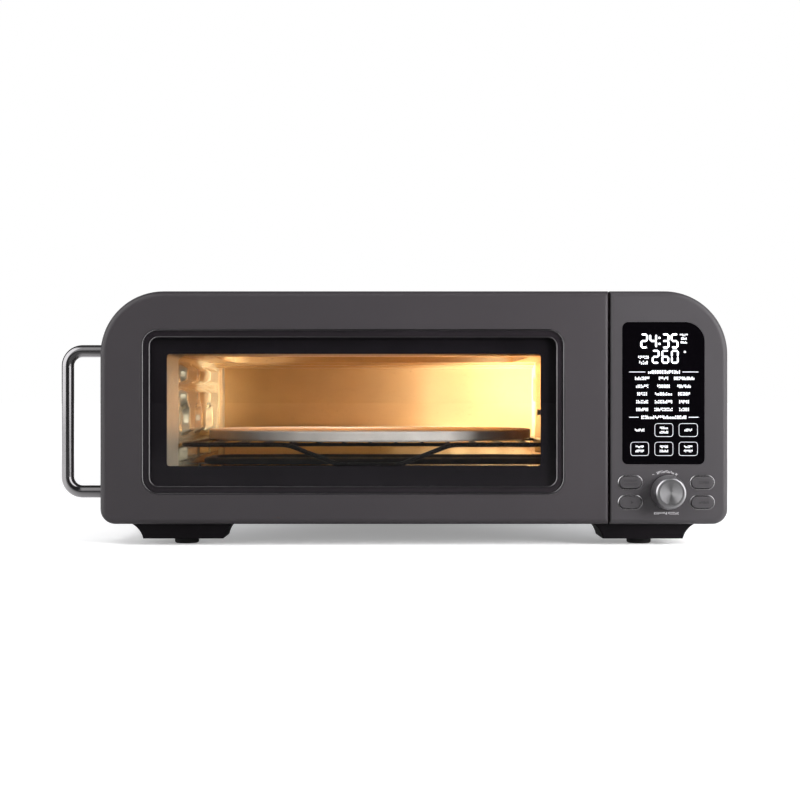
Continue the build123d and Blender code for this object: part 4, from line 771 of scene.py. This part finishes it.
# Name, place, target, size, watts and colour; places, targets and sizes in metres. The first four
# light the studio, the others the cavity: the lamp behind its lens and its light off the sheets.
AREAS = (
    ("key_light", (-0.7, -1.6, 1.9), (0, 0, 0.1), (1.4, 1.0), 24, WHITE),
    ("right_light", (0.85, -0.85, 0.35), (0.25, -0.15, 0.1), (0.4, 0.5), 19.0, WHITE),
    ("edge_light", (1.4, -0.5, 0.4), (0.2, -0.1, 0.1), (0.3, 0.9), 8, WHITE),
    ("left_light", (-1.3, -0.35, 0.5), (-0.2, -0.1, 0.1), (0.35, 1.0), 7, WHITE),
    ("oven_lamp", lens, lens + Vector((-1, 0.3, -0.05)), (0.026, 0.034), 0.28, BULB),
    ("oven_glow", at(-50, 170, 158), at(-50, 190, 60), (0.26, 0.12), 0.14, GLOW),
    ("under_glow", at(-30, 150, 72), at(-30, 350, 68), (0.28, 0.012), 0.3, BULB),
    ("hot_spot", at(104, 300, 128), at(100, 350, 132), (0.03, 0.03), 1.25, PALE),
)
for name, place, target, size, watts, color in AREAS:
    area = lamp(name, "AREA", place, target, watts, color)
    area.shape = "RECTANGLE"
    area.size, area.size_y = size
BEAM_FROM, BEAM_TO, BEAM_WATTS = at(118, 215, 128), at(-203, 262, 122), 15.0
BEAM_ANGLE, BEAM_BLEND, BEAM_RADIUS = 34, 0.6, 0.01
beam = lamp("left_beam", "SPOT", BEAM_FROM, BEAM_TO, BEAM_WATTS, BEAM)
beam.spot_size = math.radians(BEAM_ANGLE)
beam.spot_blend = BEAM_BLEND
beam.shadow_soft_size = BEAM_RADIUS

# World: white to the camera, even and dimmer to the surfaces, and to shiny ones a dark room with a
# soft box on each side and one overhead on the left. Glass shows it white behind the oven and as
# that room in front. Angles in degrees: bearing from straight ahead, rise above the horizon.
LEFT_BOX, LEFT_BOX_LIGHT = (-106.0, -30.0, 4.0), 1.9
RIGHT_BOX, RIGHT_BOX_LIGHT = (36.0, 98.0, 4.0), 1.9
SIDE_BOX_RISE = (-12.0, 62.0, 10.0)
TOP_BOX_RISE, TOP_BOX_LIGHT = (14.0, 72.0, 16.0), 0.6
TOP_BOX_END, TOP_BOX_FRONT = (-14.0, -6.0), (-0.3, 0.2)
ROOM_LIGHT, AROUND_LIGHT, BACKDROP_LIGHT = 0.035, 0.5, 1.0
BACKDROP_START, BACKDROP_END = -0.05, 0.15
DEGREES = 57.2958

world = bpy.data.worlds.new("studio")
bpy.context.scene.world = world
world.use_nodes = True
tree = world.node_tree
tree.nodes.clear()
paths = tree.nodes.new("ShaderNodeLightPath")
where = tree.nodes.new("ShaderNodeTexCoord")
split = tree.nodes.new("ShaderNodeSeparateXYZ")
tree.links.new(where.outputs["Generated"], split.inputs[0])


def feed(socket, value):
    """Set a number on a socket of the world's tree, or link another socket to it."""
    if isinstance(value, float):
        socket.default_value = value
    else:
        tree.links.new(value, socket)


def studio_math(operation, first, second=0.0):
    node = tree.nodes.new("ShaderNodeMath")
    node.operation = operation
    feed(node.inputs[0], first)
    feed(node.inputs[1], second)
    return node.outputs[0]


def soft_step(value, low, high, start=0.0, end=1.0):
    node = tree.nodes.new("ShaderNodeMapRange")
    node.interpolation_type = "SMOOTHSTEP"
    for key, number in (("From Min", low), ("From Max", high), ("To Min", start), ("To Max", end)):
        node.inputs[key].default_value = number
    tree.links.new(value, node.inputs["Value"])
    return node.outputs["Result"]


def soft_band(value, low, high, soft):
    """One between low and high, fading to nothing over soft on either side."""
    return studio_math("MULTIPLY", soft_step(value, low - soft, low + soft),
                       soft_step(value, high - soft, high + soft, 1.0, 0.0))


def choose(switch, off, on):
    node = tree.nodes.new("ShaderNodeMix")
    node.data_type = "FLOAT"
    tree.links.new(switch, node.inputs[0])
    feed(node.inputs[2], off)
    feed(node.inputs[3], on)
    return node.outputs[0]


to_front = studio_math("MULTIPLY", split.outputs["Y"], -1.0)
bearing = studio_math("ARCTAN2", split.outputs["X"], to_front)
bearing = studio_math("MULTIPLY", bearing, DEGREES)
rise = studio_math("MULTIPLY", studio_math("ARCSINE", split.outputs["Z"]), DEGREES)
upright = soft_band(rise, *SIDE_BOX_RISE)
left_box = studio_math("MULTIPLY", soft_band(bearing, *LEFT_BOX), LEFT_BOX_LIGHT)
right_box = studio_math("MULTIPLY", soft_band(bearing, *RIGHT_BOX), RIGHT_BOX_LIGHT)
sides = studio_math("MULTIPLY", studio_math("ADD", left_box, right_box), upright)
overhead = studio_math("MULTIPLY", soft_band(rise, *TOP_BOX_RISE), TOP_BOX_LIGHT)
overhead = studio_math("MULTIPLY", overhead, soft_step(bearing, *TOP_BOX_END, 1.0, 0.0))
overhead = studio_math("MULTIPLY", overhead, soft_step(to_front, *TOP_BOX_FRONT))
room = studio_math("ADD", studio_math("MAXIMUM", sides, overhead), ROOM_LIGHT)
behind_oven = soft_step(split.outputs["Y"], BACKDROP_START, BACKDROP_END)
through = choose(behind_oven, room, BACKDROP_LIGHT)
strength = choose(paths.outputs["Is Glossy Ray"], AROUND_LIGHT, room)
strength = choose(paths.outputs["Is Transmission Ray"], strength, through)
strength = choose(paths.outputs["Is Camera Ray"], strength, BACKDROP_LIGHT)
sky = tree.nodes.new("ShaderNodeBackground")
sky.inputs["Color"].default_value = (1, 1, 1, 1)
tree.links.new(strength, sky.inputs["Strength"])
world_out = tree.nodes.new("ShaderNodeOutputWorld")
tree.links.new(sky.outputs[0], world_out.inputs["Surface"])

# Camera
CAMERA_PLACE = at(-11.0, -1316.0, 122.7)
SENSOR_WIDTH, FOCAL_LENGTH, CLIP_END = 36.0, 70.92, 200.0
camera_data = bpy.data.cameras.new("camera")
camera_data.sensor_width = SENSOR_WIDTH
camera_data.lens = FOCAL_LENGTH
camera_data.clip_end = CLIP_END
camera = bpy.data.objects.new("camera", camera_data)
camera.location = CAMERA_PLACE
camera.rotation_euler = (math.radians(90), 0, 0)
bpy.context.scene.collection.objects.link(camera)
bpy.context.scene.camera = camera
bpy.context.scene.view_settings.view_transform = "Standard"

bpy.context.view_layer.update()
